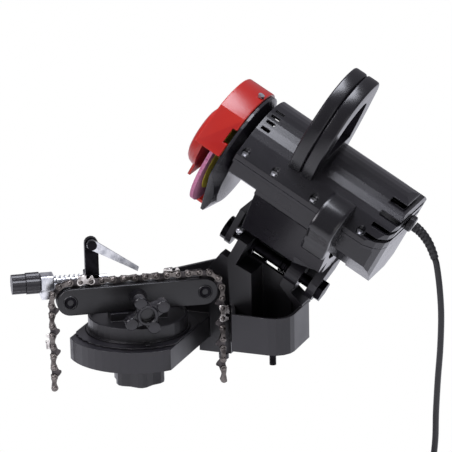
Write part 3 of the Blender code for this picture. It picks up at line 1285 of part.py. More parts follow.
def wheel():
    """Grinding wheel with its bare label, flanges and nut."""
    half = WHEEL_THICK / 2
    paint(ring("grinding_wheel", WHEEL_RADIUS, WHEEL_BORE, -half, half, (0, 0, 0), "x", MOTOR, 48), "pink grit")
    label_place = half + GAP
    paint(ring("wheel_label", LABEL_RADIUS, FLANGE_RADIUS * 0.8, 0, LABEL_THICK, (label_place, 0, 0), "x", MOTOR, 32), "yellow paper")
    bore = SHAFT_RADIUS + GAP
    face = label_place + LABEL_THICK + GAP
    spigot = WHEEL_BORE - GAP
    back = BACKING_PLACE - GAP * 2
    profile = [(bore, back), (SHAFT_RADIUS * 2, back), (SHAFT_RADIUS * 2, face + FLANGE_THICK), (FLANGE_RADIUS, face + FLANGE_THICK),
               (FLANGE_RADIUS, face), (spigot, face), (spigot, -half * 0.6), (bore, -half * 0.6), (bore, back)]
    paint(turned("inner_flange", profile, (0, 0, 0), "x", MOTOR, 24), "zinc plate")
    start = -half - GAP - FLANGE_THICK
    paint(ring("outer_flange", FLANGE_RADIUS, bore, 0, FLANGE_THICK, (start, 0, 0), "x", MOTOR, 32), "zinc plate")
    nut_middle = start - GAP - NUT_THICK / 2
    nut = drum("wheel_nut", NUT_RADIUS, NUT_THICK, (nut_middle, 0, 0), "x", MOTOR, 6)
    boolean(nut, drum("wheel_nut_bore", bore, NUT_THICK * 2, (nut_middle, 0, 0), "x", MOTOR, 20))
    paint(nut, "zinc plate")


def guard_outline(inset):
    """Rim of the guard: round, with a flat towards the operator."""
    radius = GUARD_RADIUS - inset
    points = arc((0, 0), radius, -math.radians(165), math.radians(128), 26)
    points.append((-radius, radius * GUARD_FLAT_SHARE))
    return points


def guard():
    """Red cover over the wheel, open below and towards the operator."""
    depth = GUARD_REAR - GUARD_FACE
    cover = plate("wheel_guard", [guard_outline(0)], depth, (GUARD_FACE + depth / 2, 0, 0), "x", MOTOR)
    hub_length = GUARD_HUB_RISE + GUARD_WALL
    hub_place = GUARD_FACE + GUARD_WALL - hub_length / 2
    join(cover, drum("guard_hub", GUARD_HUB_RADIUS * 1.15, hub_length, (hub_place, 0, 0), "x", MOTOR, 32, GUARD_HUB_RADIUS * 1.15))
    soften(cover, EDGE * 1.5)
    hollow_start = GUARD_FACE + GUARD_WALL
    boolean(cover, plate("guard_hollow", [guard_outline(GUARD_WALL)], depth, (hollow_start + depth / 2, 0, 0), "x", MOTOR))
    reach = GUARD_RADIUS * 1.5
    top = GUARD_RADIUS * GUARD_FLAT_SHARE
    size = (depth * 2, reach, reach)
    centre = (hollow_start + depth, GUARD_RADIUS * GUARD_OPEN_SHARE - reach / 2, top - reach / 2)
    boolean(cover, block("guard_opening", size, centre, MOTOR, 0))
    face_centre = (GUARD_FACE, -GUARD_HUB_RADIUS * GUARD_HUB_SHARE - reach / 2, top + GAP - reach / 2)
    boolean(cover, block("guard_face_opening", size, face_centre, MOTOR, 0))
    window_height = GUARD_RADIUS - GUARD_WALL - GUARD_WINDOW
    window_size = (GUARD_WALL * 3, reach, window_height)
    window_centre = (GUARD_FACE, GUARD_WINDOW_END - reach / 2, -GUARD_WINDOW - window_height / 2)
    boolean(cover, block("guard_window", window_size, window_centre, MOTOR, 0))
    paint(cover, "red plastic")
    radius = GUARD_RADIUS + GAP + SCREW_HEAD_THICK / 2
    where = (GUARD_REAR - SCREW_HEAD_RADIUS * 1.4, radius * math.cos(GUARD_SCREW_TURN), radius * math.sin(GUARD_SCREW_TURN))
    screw = drum("guard_screw", SCREW_HEAD_RADIUS, SCREW_HEAD_THICK, where, "z", MOTOR, 16)
    screw.matrix_local = Matrix.Translation(where) @ Matrix.Rotation(GUARD_SCREW_TURN - math.pi / 2, 4, "X")
    paint(screw, "zinc plate")


def yoke():
    """Swing arm: two cheeks on the hinge pin and a web that carries the housing."""
    top = MOTOR_RISE - TUB_DEEP - GAP
    back = YOKE_BACK
    outline = [(YOKE_FRONT, top), (YOKE_FRONT, top - CHEEK_THICK)]
    outline += arc((0, 0), BEARING_RADIUS, math.pi, 2 * math.pi, 10)
    outline += [(back, BEARING_RADIUS), (back, top)]
    bore = arc((0, 0), PIN_RADIUS + GAP, 0, 2 * math.pi * (1 - 1 / 20), 19)
    arm = plate("swing_yoke", [outline, bore], CHEEK_THICK, (LEFT_CHEEK + CHEEK_THICK / 2, 0, 0), "x", HEAD)
    right_outline = [(0, top), (-BEARING_RADIUS, BEARING_RADIUS / 2)]
    right_outline += arc((0, 0), BEARING_RADIUS, math.pi, 2 * math.pi, 10)
    right_outline += [(back, BEARING_RADIUS), (back, top)]
    join(arm, plate("right_cheek", [right_outline, bore], RIGHT_CHEEK_THICK, (RIGHT_CHEEK + RIGHT_CHEEK_THICK / 2, 0, 0), "x", HEAD))
    web_length = RIGHT_CHEEK - LEFT_CHEEK
    web_low = BEARING_RADIUS * 1.5
    web_front = BEARING_RADIUS / 3
    web_size = (web_length, back - web_front - GAP, top - web_low - GAP)
    web_centre = (LEFT_CHEEK + OVERRUN + web_length / 2, (back + web_front) / 2, (top + web_low) / 2)
    join(arm, block("yoke_web", web_size, web_centre, HEAD, 0))
    apron_height = web_low + APRON_DROP + OVERRUN
    apron_size = (web_length - GAP * 2, APRON_THICK, apron_height)
    apron_centre = (LEFT_CHEEK + OVERRUN + web_length / 2, back - GAP * 2 - APRON_THICK / 2, apron_height / 2 - APRON_DROP)
    join(arm, block("yoke_apron", apron_size, apron_centre, HEAD, 0))
    strut_end = HUMP_START - GAP
    strut = [(LEFT_CHEEK + OVERRUN, top - OVERRUN), (STRUT_FOOT, top + OVERRUN), (strut_end, STRUT_TOP), (strut_end, top - OVERRUN)]
    join(arm, plate("yoke_strut", [strut], back - web_front - OVERRUN, (0, (back + web_front) / 2 - GAP, 0), "y", HEAD))
    for index in range(3):
        along = LEFT_EAR + LEFT_EAR_THICK + (RIGHT_EAR - LEFT_EAR - LEFT_EAR_THICK) * (index + 0.5) / 3
        rib_size = (CHEEK_THICK / 2, web_low, CHEEK_THICK)
        join(arm, block(f"yoke_rib_{index}", rib_size, (along, back - web_low / 2 - OVERRUN, web_low - CHEEK_THICK / 3), HEAD, 0))
    boss_low = back - DEPTH_BOSS
    boss_start = LEFT_CHEEK + CHEEK_THICK / 2
    boss_end = LEFT_EAR - GAP * 2
    boss_size = (boss_end - boss_start, DEPTH_BOSS - GAP, DEPTH_BOSS)
    join(arm, block("depth_boss", boss_size, ((boss_start + boss_end) / 2, back - DEPTH_BOSS / 2, DEPTH_LIFT), HEAD, 0))
    boolean(arm, drum("depth_bore", DEPTH_RADIUS + GAP, DEPTH_BOSS * 3, (DEPTH_PLACE, back - DEPTH_BOSS / 2, DEPTH_LIFT), "y", HEAD, 20))
    paint(arm, "black plastic")


def depth_screw():
    """Screw with a round nose that lands on the base's stop tab, and its knob."""
    nose = DEPTH_RADIUS
    length = DEPTH_END - DEPTH_TIP
    profile = [(DEPTH_RADIUS, 0)]
    for step in range(1, 5):
        angle = math.pi / 2 * step / 4
        profile.append((DEPTH_RADIUS * math.cos(angle) if step < 4 else 0, -nose * math.sin(angle)))
    profile = [(0, length - nose)] + [(DEPTH_RADIUS, length - nose)] + profile
    screw = turned("depth_screw", profile, (DEPTH_PLACE, DEPTH_TIP + nose, DEPTH_LIFT), "z", HEAD, 24)
    turn = Matrix.Rotation(-math.pi / 2, 4, "X")
    screw.matrix_local = Matrix.Translation((DEPTH_PLACE, DEPTH_TIP + nose, DEPTH_LIFT)) @ turn
    knob_length = DEPTH_BOSS * 0.8
    knob_place = (DEPTH_PLACE, DEPTH_END - knob_length / 2 + GAP, DEPTH_LIFT)
    join(screw, drum("depth_knob", DEPTH_RADIUS * 2.2, knob_length, knob_place, "y", HEAD, 12))
    paint(screw, "zinc plate")


def smooth_route(places, spacing):
    """Even points along a smooth curve through a cord's own points."""
    ends = [places[0] * 2 - places[1]] + places + [places[-1] * 2 - places[-2]]
    fine = []
    for index in range(1, len(ends) - 2):
        before, start, finish, after = ends[index - 1:index + 3]
        for step in range(24):
            share = step / 24
            ahead = (finish - before) * share
            bend = (before * 2 - start * 5 + finish * 4 - after) * share ** 2
            twist = (start * 3 - before - finish * 3 + after) * share ** 3
            fine.append((start * 2 + ahead + bend + twist) / 2)
    fine.append(places[-1])
    run = [0.0]
    for start, finish in zip(fine, fine[1:]):
        run.append(run[-1] + (finish - start).length)
    count = max(2, round(run[-1] / spacing))
    points = []
    index = 0
    for step in range(count + 1):
        goal = run[-1] * step / count
        while index < len(run) - 2 and run[index + 1] < goal:
            index += 1
        share = (goal - run[index]) / (run[index + 1] - run[index])
        points.append(fine[index].lerp(fine[index + 1], share))
    return points, run[-1]


def coil_points():
    """Loops of the stored cord: in along the floor, a climb, and out again on top."""
    steps = 24
    layer_turns = COIL_TURNS / 2
    outer = COIL_RADIUS + COIL_PITCH * layer_turns / 2
    floor = COIL_FLOOR + CORD_RADIUS
    points = []
    for step in range(COIL_TURNS * steps + 1):
        turn = step / steps
        inward = turn if turn <= layer_turns else COIL_TURNS - turn
        radius = outer - COIL_PITCH * inward
        climb = min(max((turn - layer_turns + 0.25) / 0.5, 0), 1)
        angle = 2 * math.pi * turn + COIL_START
        points.append(Vector((COIL_X + radius * math.cos(angle), COIL_Y + radius * math.sin(angle),
                              floor + COIL_LAYER * climb)))
    return points


def coil_gap(points):
    """Least gap between stretches of the coil that lie more than half a loop apart."""
    least = COIL_RADIUS
    for first in range(len(points)):
        for second in range(first + 12, len(points)):
            least = min(least, (points[first] - points[second]).length)
    return least - CORD_RADIUS * 2


def cord():
    """Gland, strain relief, hanging cord, stored coil with its tie, and the plug."""
    rise = ARCH_RADIUS * GLAND_PLACE_SHARE
    start = SHELL_END + GAP
    gland = drum("cord_gland", GLAND_RADIUS, GLAND_LENGTH, (start + GLAND_LENGTH / 2, 0, rise), "x", MOTOR, 24)
    soften(gland, EDGE)
    paint(gland, "black plastic")
    relief_points, relief_length = smooth_route([Vector(place_) for place_ in RELIEF_ROUTE], RELIEF_RADIUS)
    relief = tube("strain_relief", relief_points, RELIEF_RADIUS, (0, 0, 0), None, 3, CORD_RADIUS * 1.15 / RELIEF_RADIUS)
    paint(relief, "black rubber")
    points, hanging = smooth_route([Vector(place_) for place_ in CORD_ROUTE], CORD_RADIUS * 4)
    paint(tube("cord", points, CORD_RADIUS, (0, 0, 0), None, 2), "black rubber")

    loops = coil_points()
    lead = Vector((0, CORD_RADIUS * 2, 0))
    run_out = Vector((0, COIL_RADIUS, 0))
    loops = [loops[0] - run_out, loops[0] - lead] + loops + [loops[-1] + lead]
    print(f"coil: least gap between turns {coil_gap(loops) * 1000:.2f} mm")
    stored = sum((finish - begin).length for begin, finish in zip(loops, loops[1:]))
    paint(tube("cord_coil", loops, CORD_RADIUS, (0, 0, 0), None, 1), "black rubber")
    print(f"cord: {hanging:.3f} m hangs from the relief, {stored:.3f} m lies in the coil")
    coil_tie()
    plug(loops[0])


def coil_tie():
    """Strap round the coil's bundle of turns, on the side away from the cord's two ends."""
    spread = COIL_PITCH * COIL_TURNS / 4
    near = COIL_RADIUS - spread - CORD_RADIUS - GAP * 2
    far = COIL_RADIUS + spread - COIL_PITCH / 2 + CORD_RADIUS + GAP * 2
    low = -GAP * 2
    high = COIL_LAYER + CORD_RADIUS * 2 + GAP * 2
    inside = [(-far, low), (-near, low), (-near, high), (-far, high)]
    outside = [(-far - TIE_THICK, low - TIE_THICK), (-near + TIE_THICK, low - TIE_THICK),
               (-near + TIE_THICK, high + TIE_THICK), (-far - TIE_THICK, high + TIE_THICK)]
    tie = plate("coil_tie", [outside, inside], TIE_WIDTH, (COIL_X, COIL_Y, COIL_FLOOR), "y")
    paint(tie, "black plastic")


def plug(cord_end):
    """Two pin plug lying beside the coil."""
    back = cord_end.y - GAP
    middle = (cord_end.x, back - PLUG_LENGTH / 2, COIL_FLOOR + PLUG_THICK / 2)
    body = block("plug_body", (PLUG_WIDTH, PLUG_LENGTH, PLUG_THICK), middle, None, EDGE * 3)
    for side in (-1, 1):
        centre = (cord_end.x + side * PIN_SPACE / 2, back - PLUG_LENGTH + OVERRUN - PIN_LENGTH / 2, middle[2])
        join(body, drum(f"pin_{side}", PIN_THICK_RADIUS, PIN_LENGTH, centre, "y", None, 12))
    paint(body, "black rubber")


base_body()
base_fittings()
lock_knob()
turntable()
vise()
chain_stop()
chain()
upper_shell()
lower_shell()
backing_plate()
motor()
wheel()
guard()
loop_handle()
front_grip()
yoke()
depth_screw()
housing_screws()
cord()
screw_cuts(part_group.objects["upper_shell"], True)
screw_cuts(part_group.objects["lower_shell"], False)
cradle(part_group.objects["lower_shell"])
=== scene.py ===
# %% [markdown]
# # A bench grinder for saw chains
#
# The real tool is a small motor head, moulded in black plastic, that tilts down over a vise. The
# imported model already holds every part that works, in metres, with its joints. This lesson gives
# those parts their looks: rounder mouldings, single chain links, screws, cord and surfaces.
#
# We start by loading the model.

# %% Load the model
import json
import math

import bmesh
import bpy
from mathutils import Matrix, Vector


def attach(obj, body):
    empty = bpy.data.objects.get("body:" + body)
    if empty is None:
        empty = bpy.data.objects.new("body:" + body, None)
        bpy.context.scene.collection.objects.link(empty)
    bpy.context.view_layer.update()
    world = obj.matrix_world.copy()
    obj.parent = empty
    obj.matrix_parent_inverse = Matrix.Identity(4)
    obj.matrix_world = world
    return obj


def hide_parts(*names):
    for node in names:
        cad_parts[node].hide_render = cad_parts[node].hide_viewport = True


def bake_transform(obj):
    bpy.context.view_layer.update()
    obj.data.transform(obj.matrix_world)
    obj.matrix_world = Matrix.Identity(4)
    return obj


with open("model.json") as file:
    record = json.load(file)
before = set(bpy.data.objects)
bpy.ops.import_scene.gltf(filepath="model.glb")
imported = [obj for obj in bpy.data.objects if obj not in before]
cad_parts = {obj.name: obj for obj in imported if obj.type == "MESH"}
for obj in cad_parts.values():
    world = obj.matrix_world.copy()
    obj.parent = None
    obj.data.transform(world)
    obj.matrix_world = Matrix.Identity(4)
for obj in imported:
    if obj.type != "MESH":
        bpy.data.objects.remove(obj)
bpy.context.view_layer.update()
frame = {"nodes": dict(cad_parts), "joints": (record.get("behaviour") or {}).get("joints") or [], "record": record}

# %% [markdown]
# ## The camera
#
# The photograph was taken with a long lens, so parallel edges stay nearly parallel. A camera is
# easiest to aim when its three directions are worked out first: out of the picture, to the right
# and up. The lens follows from how large the wheel is in the picture, and the picture is square.

# %% Camera
MM = 0.001
AZIMUTH = math.radians(21.8)
ELEVATION = math.radians(17.9)
ROLL = math.radians(-1.2)
IMAGE_SIDE = 452
PIXELS_PER_METRE = 1134
FOCAL_PIXELS = 3170
ORIGIN_PIXEL = (262, 340)
SENSOR = 36

level = Vector((math.cos(AZIMUTH), math.sin(AZIMUTH), 0))
forward = Vector((math.sin(AZIMUTH), -math.cos(AZIMUTH), 0))
outward = forward * math.cos(ELEVATION) + Vector((0, 0, math.sin(ELEVATION)))
steep = outward.cross(level)
rightward = level * math.cos(ROLL) + steep * math.sin(ROLL)
upward = steep * math.cos(ROLL) - level * math.sin(ROLL)
distance = FOCAL_PIXELS / PIXELS_PER_METRE
across = (ORIGIN_PIXEL[0] - IMAGE_SIDE / 2) / PIXELS_PER_METRE
above = (IMAGE_SIDE / 2 - ORIGIN_PIXEL[1]) / PIXELS_PER_METRE

lens = bpy.data.cameras.new("view")
lens.sensor_width = SENSOR
lens.lens = SENSOR * FOCAL_PIXELS / IMAGE_SIDE
camera = bpy.data.objects.new("view", lens)
bpy.context.scene.collection.objects.link(camera)
turn = Matrix((rightward, upward, outward)).transposed().to_4x4()
camera.matrix_world = Matrix.Translation(outward * distance - rightward * across - upward * above) @ turn
bpy.context.scene.camera = camera
bpy.context.scene.view_settings.view_transform = "Standard"
print(f"camera: {lens.lens:.0f} mm lens at {distance:.2f} m")

# %% [markdown]
# ## Places to work in
#
# Each assembly of the tool has its own direction: the head leans back about its hinge, the vise is
# turned on its table. A matrix for each lets us write every piece in that assembly's own simple
# directions. The hinge and the table's axis come from the model's joints, so nothing is measured
# twice.

# %% Matrices of the assemblies
joints = {joint["name"]: joint for joint in frame["joints"]}


def along_x(joint):
    """Matrix whose x axis is the joint's axis, with y kept away from the operator."""
    x = Vector(joint["axis"]).normalized()
    y = Vector((0, 1, 0))
    y = (y - x * y.dot(x)).normalized()
    spin = Matrix((x, y, x.cross(y))).transposed().to_4x4()
    return Matrix.Translation(Vector(joint["pos_m"])) @ spin


HEAD = along_x(joints["head_swing"])
MOTOR = along_x(joints["wheel_spin"])
TABLE = Matrix.Translation(Vector(joints["turntable_turn"]["pos_m"]))
vise_line = Vector(joints["stop_slide"]["axis"])
VISE = TABLE @ Matrix.Rotation(math.atan2(vise_line.y, vise_line.x), 4, "Z")
WORLD = Matrix.Identity(4)

# A flat shape is drawn in x and y and lies along z; these lay its z axis along another one.
FACING = {
    "x": Matrix(((0, 0, 1), (1, 0, 0), (0, 1, 0))).to_4x4(),
    "y": Matrix(((1, 0, 0), (0, 0, -1), (0, 1, 0))).to_4x4(),
    "z": Matrix.Identity(4),
}
# Turned shapes on the vise look at the operator.
TO_OPERATOR = Matrix.Rotation(math.pi / 2, 4, "X")
print("head leans back", round(math.degrees(math.acos(HEAD.col[0].x))), "degrees")

# %% [markdown]
# ## Studio
#
# The photograph has a pure white ground and soft light from a large source above and another to
# the left, which draw the long highlights on the black shells. A weak third lamp opens the shadows.
# The ground is white only where the camera sees it, directly or through something clear, so no
# extra light falls on the object and the blacks don't mirror it.

# %% Colours, nodes, floor and lamps


def linear(code):
    """sRGB hex colour as linear values for a shader."""
    parts = [int(code[index:index + 2], 16) / 255 for index in (1, 3, 5)]
    return [part / 12.92 if part <= 0.04045 else ((part + 0.055) / 1.055) ** 2.4 for part in parts] + [1]


def add(tree, kind, settings=None, **links):
    """Add a node, set its fields and sockets, and link sockets to other nodes' outputs."""
    node = tree.nodes.new(kind)
    for key, value in (settings or {}).items():
        if key in node.inputs:
            node.inputs[key].default_value = value
        else:
            setattr(node, key, value)
    for key, source in links.items():
        tree.links.new(source, node.inputs[key.replace("_", " ")])
    return node


def white_for_camera(tree, surface, out):
    """Show plain white to the camera and through clear things; elsewhere keep the surface."""
    path = add(tree, "ShaderNodeLightPath")
    seen = add(tree, "ShaderNodeMath", {"operation": "MAXIMUM"})
    tree.links.new(path.outputs["Is Camera Ray"], seen.inputs[0])
    tree.links.new(path.outputs["Is Transmission Ray"], seen.inputs[1])
    glow = add(tree, surface[0], {"Color": (1, 1, 1, 1), "Strength": 1.0})
    mix = add(tree, "ShaderNodeMixShader")
    tree.links.new(seen.outputs[0], mix.inputs[0])
    tree.links.new(surface[1], mix.inputs[1])
    tree.links.new(glow.outputs[0], mix.inputs[2])
    tree.links.new(mix.outputs[0], out.inputs["Surface"])


world = bpy.data.worlds.new("studio")
bpy.context.scene.world = world
world.use_nodes = True
sky = world.node_tree
sky.nodes.clear()
soft = add(sky, "ShaderNodeBackground", {"Color": linear("#ECEAF6"), "Strength": 0.36})
white_for_camera(sky, ("ShaderNodeBackground", soft.outputs[0]), add(sky, "ShaderNodeOutputWorld"))

FLOOR_DROP = 0.121
FLOOR_SIDE = 6.0
bm = bmesh.new()
bmesh.ops.create_grid(bm, x_segments=1, y_segments=1, size=FLOOR_SIDE)
floor_mesh = bpy.data.meshes.new("floor")
bm.to_mesh(floor_mesh)
bm.free()
floor = bpy.data.objects.new("floor", floor_mesh)
floor.location.z = -FLOOR_DROP
bpy.context.scene.collection.objects.link(floor)
paper = bpy.data.materials.new("white_paper_sweep")
paper.use_nodes = True
tree = paper.node_tree
tree.nodes.clear()
matt = add(tree, "ShaderNodeBsdfDiffuse", {"Color": linear("#F4F4F4")})
white_for_camera(tree, ("ShaderNodeEmission", matt.outputs[0]), add(tree, "ShaderNodeOutputMaterial"))
floor_mesh.materials.append(paper)

CENTRE = Vector((0.0, -0.02, 0.10))
LAMPS = (
    ("key", (-0.75, -1.05, 1.05), 0.75, 15, "#FBF8FF"),
    ("top", (0.10, 0.05, 1.45), 0.80, 26, "#F2F4FF"),
    ("fill", (1.05, -1.20, 0.45), 0.90, 3, "#FFFFFF"),
)
for name, place, side, watts, tint in LAMPS:
    light = bpy.data.lights.new(name, "AREA")
    light.size = side
    light.energy = watts
    light.color = linear(tint)[:3]
    lamp = bpy.data.objects.new(name, light)
    lamp.location = place
    lamp.rotation_euler = (CENTRE - Vector(place)).to_track_quat("-Z", "Y").to_euler()
    bpy.context.scene.collection.objects.link(lamp)
print("lamps:", len(LAMPS))

# %% [markdown]
# ## Finishes
#
# Almost everything is black thermoplastic, so the difference between pieces comes from gloss and
# grain. A moulded part copies its steel mould: where the mould was spark eroded the skin has a fine
# even grain and a soft sheen, where it was polished the skin shows clear highlights. Noise of
# about a millimetre drives the bump and a slow one shifts the roughness, as handling does.

# %% Material for a moulded plastic
PLASTIC_IOR = 1.52
PLASTIC_GLOSS = 0.45


def moulded(name, colour, roughness, grain_mm, grain_depth, sheen_spread=0.08, edge_dust_and_sheen="#26242A"):
    """Thermoplastic from a mould: grain, slow change of gloss, and a paler tone on sharp outer edges, partly wear and
    partly painted highlight.
    """
    material = bpy.data.materials.new(name)
    material.use_nodes = True
    tree = material.node_tree
    shader = tree.nodes["Principled BSDF"]
    shader.inputs["IOR"].default_value = PLASTIC_IOR
    shader.inputs["Specular IOR Level"].default_value = PLASTIC_GLOSS
    place = add(tree, "ShaderNodeTexCoord").outputs["Object"]
    slow = add(tree, "ShaderNodeTexNoise", {"Scale": 45.0, "Detail": 3.0}, Vector=place)
    gloss = add(tree, "ShaderNodeMapRange", {"To Min": roughness - sheen_spread, "To Max": roughness + sheen_spread},
                Value=slow.outputs["Fac"])
    tree.links.new(gloss.outputs[0], shader.inputs["Roughness"])
    grain = add(tree, "ShaderNodeTexNoise", {"Scale": 1 / (grain_mm * MM), "Detail": 2.0}, Vector=place)
    soft_edge = add(tree, "ShaderNodeBevel", {"Radius": 0.9 * MM, "samples": 4})
    bump = add(tree, "ShaderNodeBump", {"Strength": 0.35, "Distance": grain_depth * MM}, Height=grain.outputs["Fac"],
               Normal=soft_edge.outputs[0])
    tree.links.new(bump.outputs[0], shader.inputs["Normal"])
    # Where the surface is sharply convex the colour turns paler: partly wear, partly a painted highlight along the
    # edges.
    edge = add(tree, "ShaderNodeNewGeometry")
    worn_and_sheen_edge = add(tree, "ShaderNodeMapRange", {"From Min": 0.52, "From Max": 0.60, "To Min": 0.0, "To Max": 0.35},
               Value=edge.outputs["Pointiness"])
    tone = add(tree, "ShaderNodeMix", {"data_type": "RGBA"})
    tone.inputs[6].default_value = linear(colour)
    tone.inputs[7].default_value = linear(edge_dust_and_sheen)
    tree.links.new(worn_and_sheen_edge.outputs[0], tone.inputs[0])
    tree.links.new(tone.outputs[2], shader.inputs["Base Color"])
    return material


# The last colour of a plastic, given for the red and left at its default for the blacks, is the paler edge tone:
# partly wear, partly painted highlight.
POLISHED_ABS = moulded("polished_abs_black", "#0B0A0D", 0.26, 0.7, 0.02, 0.05)
MATT_NYLON = moulded("spark_eroded_nylon_black", "#0B0A0C", 0.36, 0.5, 0.08)
RED_ABS = moulded("polished_abs_red", "#8E0C05", 0.30, 0.9, 0.02, 0.05, "#D84028")
SOFT_PVC = moulded("soft_pvc_black", "#0C0C0D", 0.42, 0.4, 0.04)
print("plastics ready")

# %% [markdown]
# Metal on this tool is cheap and bright: zinc plated screws with a faint blue tint, and the saw
# chain of bare rolled steel, darker in patches where it was blued by heat and bright where it rubs.
# Its drive links, which sit between the straps, are coloured darker all over as painted shade of
# the gaps. Both use a stretched noise, because rolled and turned metal shows fine parallel lines.

# %% Metals, grit and paper


def metal(name, colour, dark, roughness, line_mm, stretch):
    """Plated or rolled steel: streaks along x, patches of a darker tone and a fine bump."""
    material = bpy.data.materials.new(name)
    material.use_nodes = True
    tree = material.node_tree
    shader = tree.nodes["Principled BSDF"]
    shader.inputs["Metallic"].default_value = 1.0
    place = add(tree, "ShaderNodeTexCoord").outputs["Object"]
    drawn = add(tree, "ShaderNodeMapping", {"Scale": (1.0, stretch, stretch)}, Vector=place)
    lines = add(tree, "ShaderNodeTexNoise", {"Scale": 1 / (line_mm * MM), "Detail": 3.0}, Vector=drawn.outputs[0])
    gloss = add(tree, "ShaderNodeMapRange", {"To Min": roughness - 0.08, "To Max": roughness + 0.14},
                Value=lines.outputs["Fac"])
    tree.links.new(gloss.outputs[0], shader.inputs["Roughness"])
    patches = add(tree, "ShaderNodeTexNoise", {"Scale": 160.0, "Detail": 4.0}, Vector=place)
    share = add(tree, "ShaderNodeMapRange", {"From Min": 0.42, "From Max": 0.66}, Value=patches.outputs["Fac"])
    tone = add(tree, "ShaderNodeMix", {"data_type": "RGBA"})
    tone.inputs[6].default_value = linear(colour)
    tone.inputs[7].default_value = linear(dark)
    tree.links.new(share.outputs[0], tone.inputs[0])
    tree.links.new(tone.outputs[2], shader.inputs["Base Color"])
    bump = add(tree, "ShaderNodeBump", {"Strength": 0.25, "Distance": 0.03 * MM}, Height=lines.outputs["Fac"])
    tree.links.new(bump.outputs[0], shader.inputs["Normal"])
    return material


ZINC_PLATE = metal("zinc_plated_steel", "#D9DADC", "#A9ABB0", 0.28, 0.8, 0.2)
CHAIN_STEEL = metal("rolled_chain_steel", "#6E6965", "#3E3A38", 0.30, 0.8, 0.3)
# The drive links are coloured darker as painted shade of the gaps between the straps.
DRIVE_STEEL_PAINTED_SHADE = metal("drive_steel_painted_shade", "#4E4A4A", "#211F20", 0.34, 0.8, 0.3)
RIVET_STEEL = metal("peened_rivet_steel", "#7C7672", "#4A4644", 0.3, 0.8, 0.3)
BLACK_OXIDE = metal("black_oxide_steel", "#1B1A1D", "#0E0D0F", 0.36, 0.8, 0.3)
CUTTER_STEEL = metal("chromed_cutter_steel", "#CFCBC6", "#77726E", 0.22, 0.8, 0.3)


def grit(name, colour, pale, dark, grain_mm):
    """Bonded abrasive: sharp grains in a porous bond, quite matt."""
    material = bpy.data.materials.new(name)
    material.use_nodes = True
    tree = material.node_tree
    shader = tree.nodes["Principled BSDF"]
    shader.inputs["Roughness"].default_value = 0.9
    place = add(tree, "ShaderNodeTexCoord").outputs["Object"]
    grains = add(tree, "ShaderNodeTexVoronoi", {"Scale": 1 / (grain_mm * MM)}, Vector=place)
    ramp = add(tree, "ShaderNodeValToRGB", None, Fac=grains.outputs["Distance"])
    ramp.color_ramp.elements[0].color = linear(pale)
    ramp.color_ramp.elements[1].color = linear(dark)
    middle = ramp.color_ramp.elements.new(0.35)
    middle.color = linear(colour)
    tree.links.new(ramp.outputs[0], shader.inputs["Base Color"])
    bump = add(tree, "ShaderNodeBump", {"Strength": 0.8, "Distance": 0.25 * MM}, Height=grains.outputs["Distance"])
    tree.links.new(bump.outputs[0], shader.inputs["Normal"])
    return material


# A medium wheel's grit is about 0.25 mm; it is drawn at 0.8 mm so that it shows in the picture.
CORUNDUM = grit("pink_fused_alumina", "#B4708F", "#D9A3B8", "#7E4560", 0.8)


def printed_paper(name, colour, fibre_mm):
    """Blotter of coated paper: nearly flat, with a little fibre in its gloss."""
    material = bpy.data.materials.new(name)
    material.use_nodes = True
    tree = material.node_tree
    shader = tree.nodes["Principled BSDF"]
    place = add(tree, "ShaderNodeTexCoord").outputs["Object"]
    fibres = add(tree, "ShaderNodeTexNoise", {"Scale": 1 / (fibre_mm * MM), "Detail": 5.0}, Vector=place)
    gloss = add(tree, "ShaderNodeMapRange", {"To Min": 0.5, "To Max": 0.75}, Value=fibres.outputs["Fac"])
    tree.links.new(gloss.outputs[0], shader.inputs["Roughness"])
    tone = add(tree, "ShaderNodeMix", {"data_type": "RGBA", "Factor": 0.2})
    tone.inputs[6].default_value = linear(colour)
    tone.inputs[7].default_value = linear("#F2E36A")
    tree.links.new(fibres.outputs["Fac"], tone.inputs[0])
    tree.links.new(tone.outputs[2], shader.inputs["Base Color"])
    return material


# The yellow is set brighter than the label's own to make up for the guard's shade on it: painted light.
YELLOW_BLOTTER = printed_paper("yellow_blotter_paper", "#F4D312", 0.6)
print("materials:", len(bpy.data.materials))

# %% [markdown]
# ## Mesh helpers
#
# Every piece below is a bmesh that several helpers add shapes to. When it is complete, `publish`
# turns it into one object at the origin, shades it smooth except where two faces meet at a clear
# angle, gives it its finish and lets it ride on a body of the model. Working in one mesh per piece
# keeps the list of pieces short.

# %% Helpers for meshes
SHARP = math.radians(32)
body_of_node = {node: body for body, nodes in frame["record"]["behaviour"]["bodies"].items() for node in nodes}


def publish(name, bm, finish, body, nodes=(), sharp=SHARP):
    """Make an object of a finished bmesh, with its material, its body and the nodes it stands for."""
    bmesh.ops.recalc_face_normals(bm, faces=bm.faces)
    for face in bm.faces:
        face.smooth = True
    for edge in bm.edges:
        edge.smooth = len(edge.link_faces) == 2 and edge.calc_face_angle(0) < sharp
    mesh = bpy.data.meshes.new(name)
    bm.to_mesh(mesh)
    bm.free()
    piece = bpy.data.objects.new(name, mesh)
    bpy.context.scene.collection.objects.link(piece)
    finishes = finish if isinstance(finish, (list, tuple)) else [finish]
    for one in finishes:
        mesh.materials.append(one)
    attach(piece, body)
    if nodes:
        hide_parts(*nodes)
    return piece


def rounded_edges(bm, width, steps=2, angle=math.radians(28)):
    """Bevel the edges that are sharper than an angle."""
    chosen = [edge for edge in bm.edges if edge.is_manifold and edge.calc_face_angle(0) > angle]
    if chosen:
        bmesh.ops.bevel(bm, geom=chosen, offset=width, segments=steps, profile=0.6, affect="EDGES",
                        clamp_overlap=True, offset_type="OFFSET")


def add_mesh(bm, shape, matrix=WORLD, slot=0):
    """Copy one bmesh into another through a matrix."""
    shape.transform(matrix)
    for face in shape.faces:
        face.material_index = slot
    mesh = bpy.data.meshes.new("part")
    shape.to_mesh(mesh)
    shape.free()
    bm.from_mesh(mesh)
    bpy.data.meshes.remove(mesh)


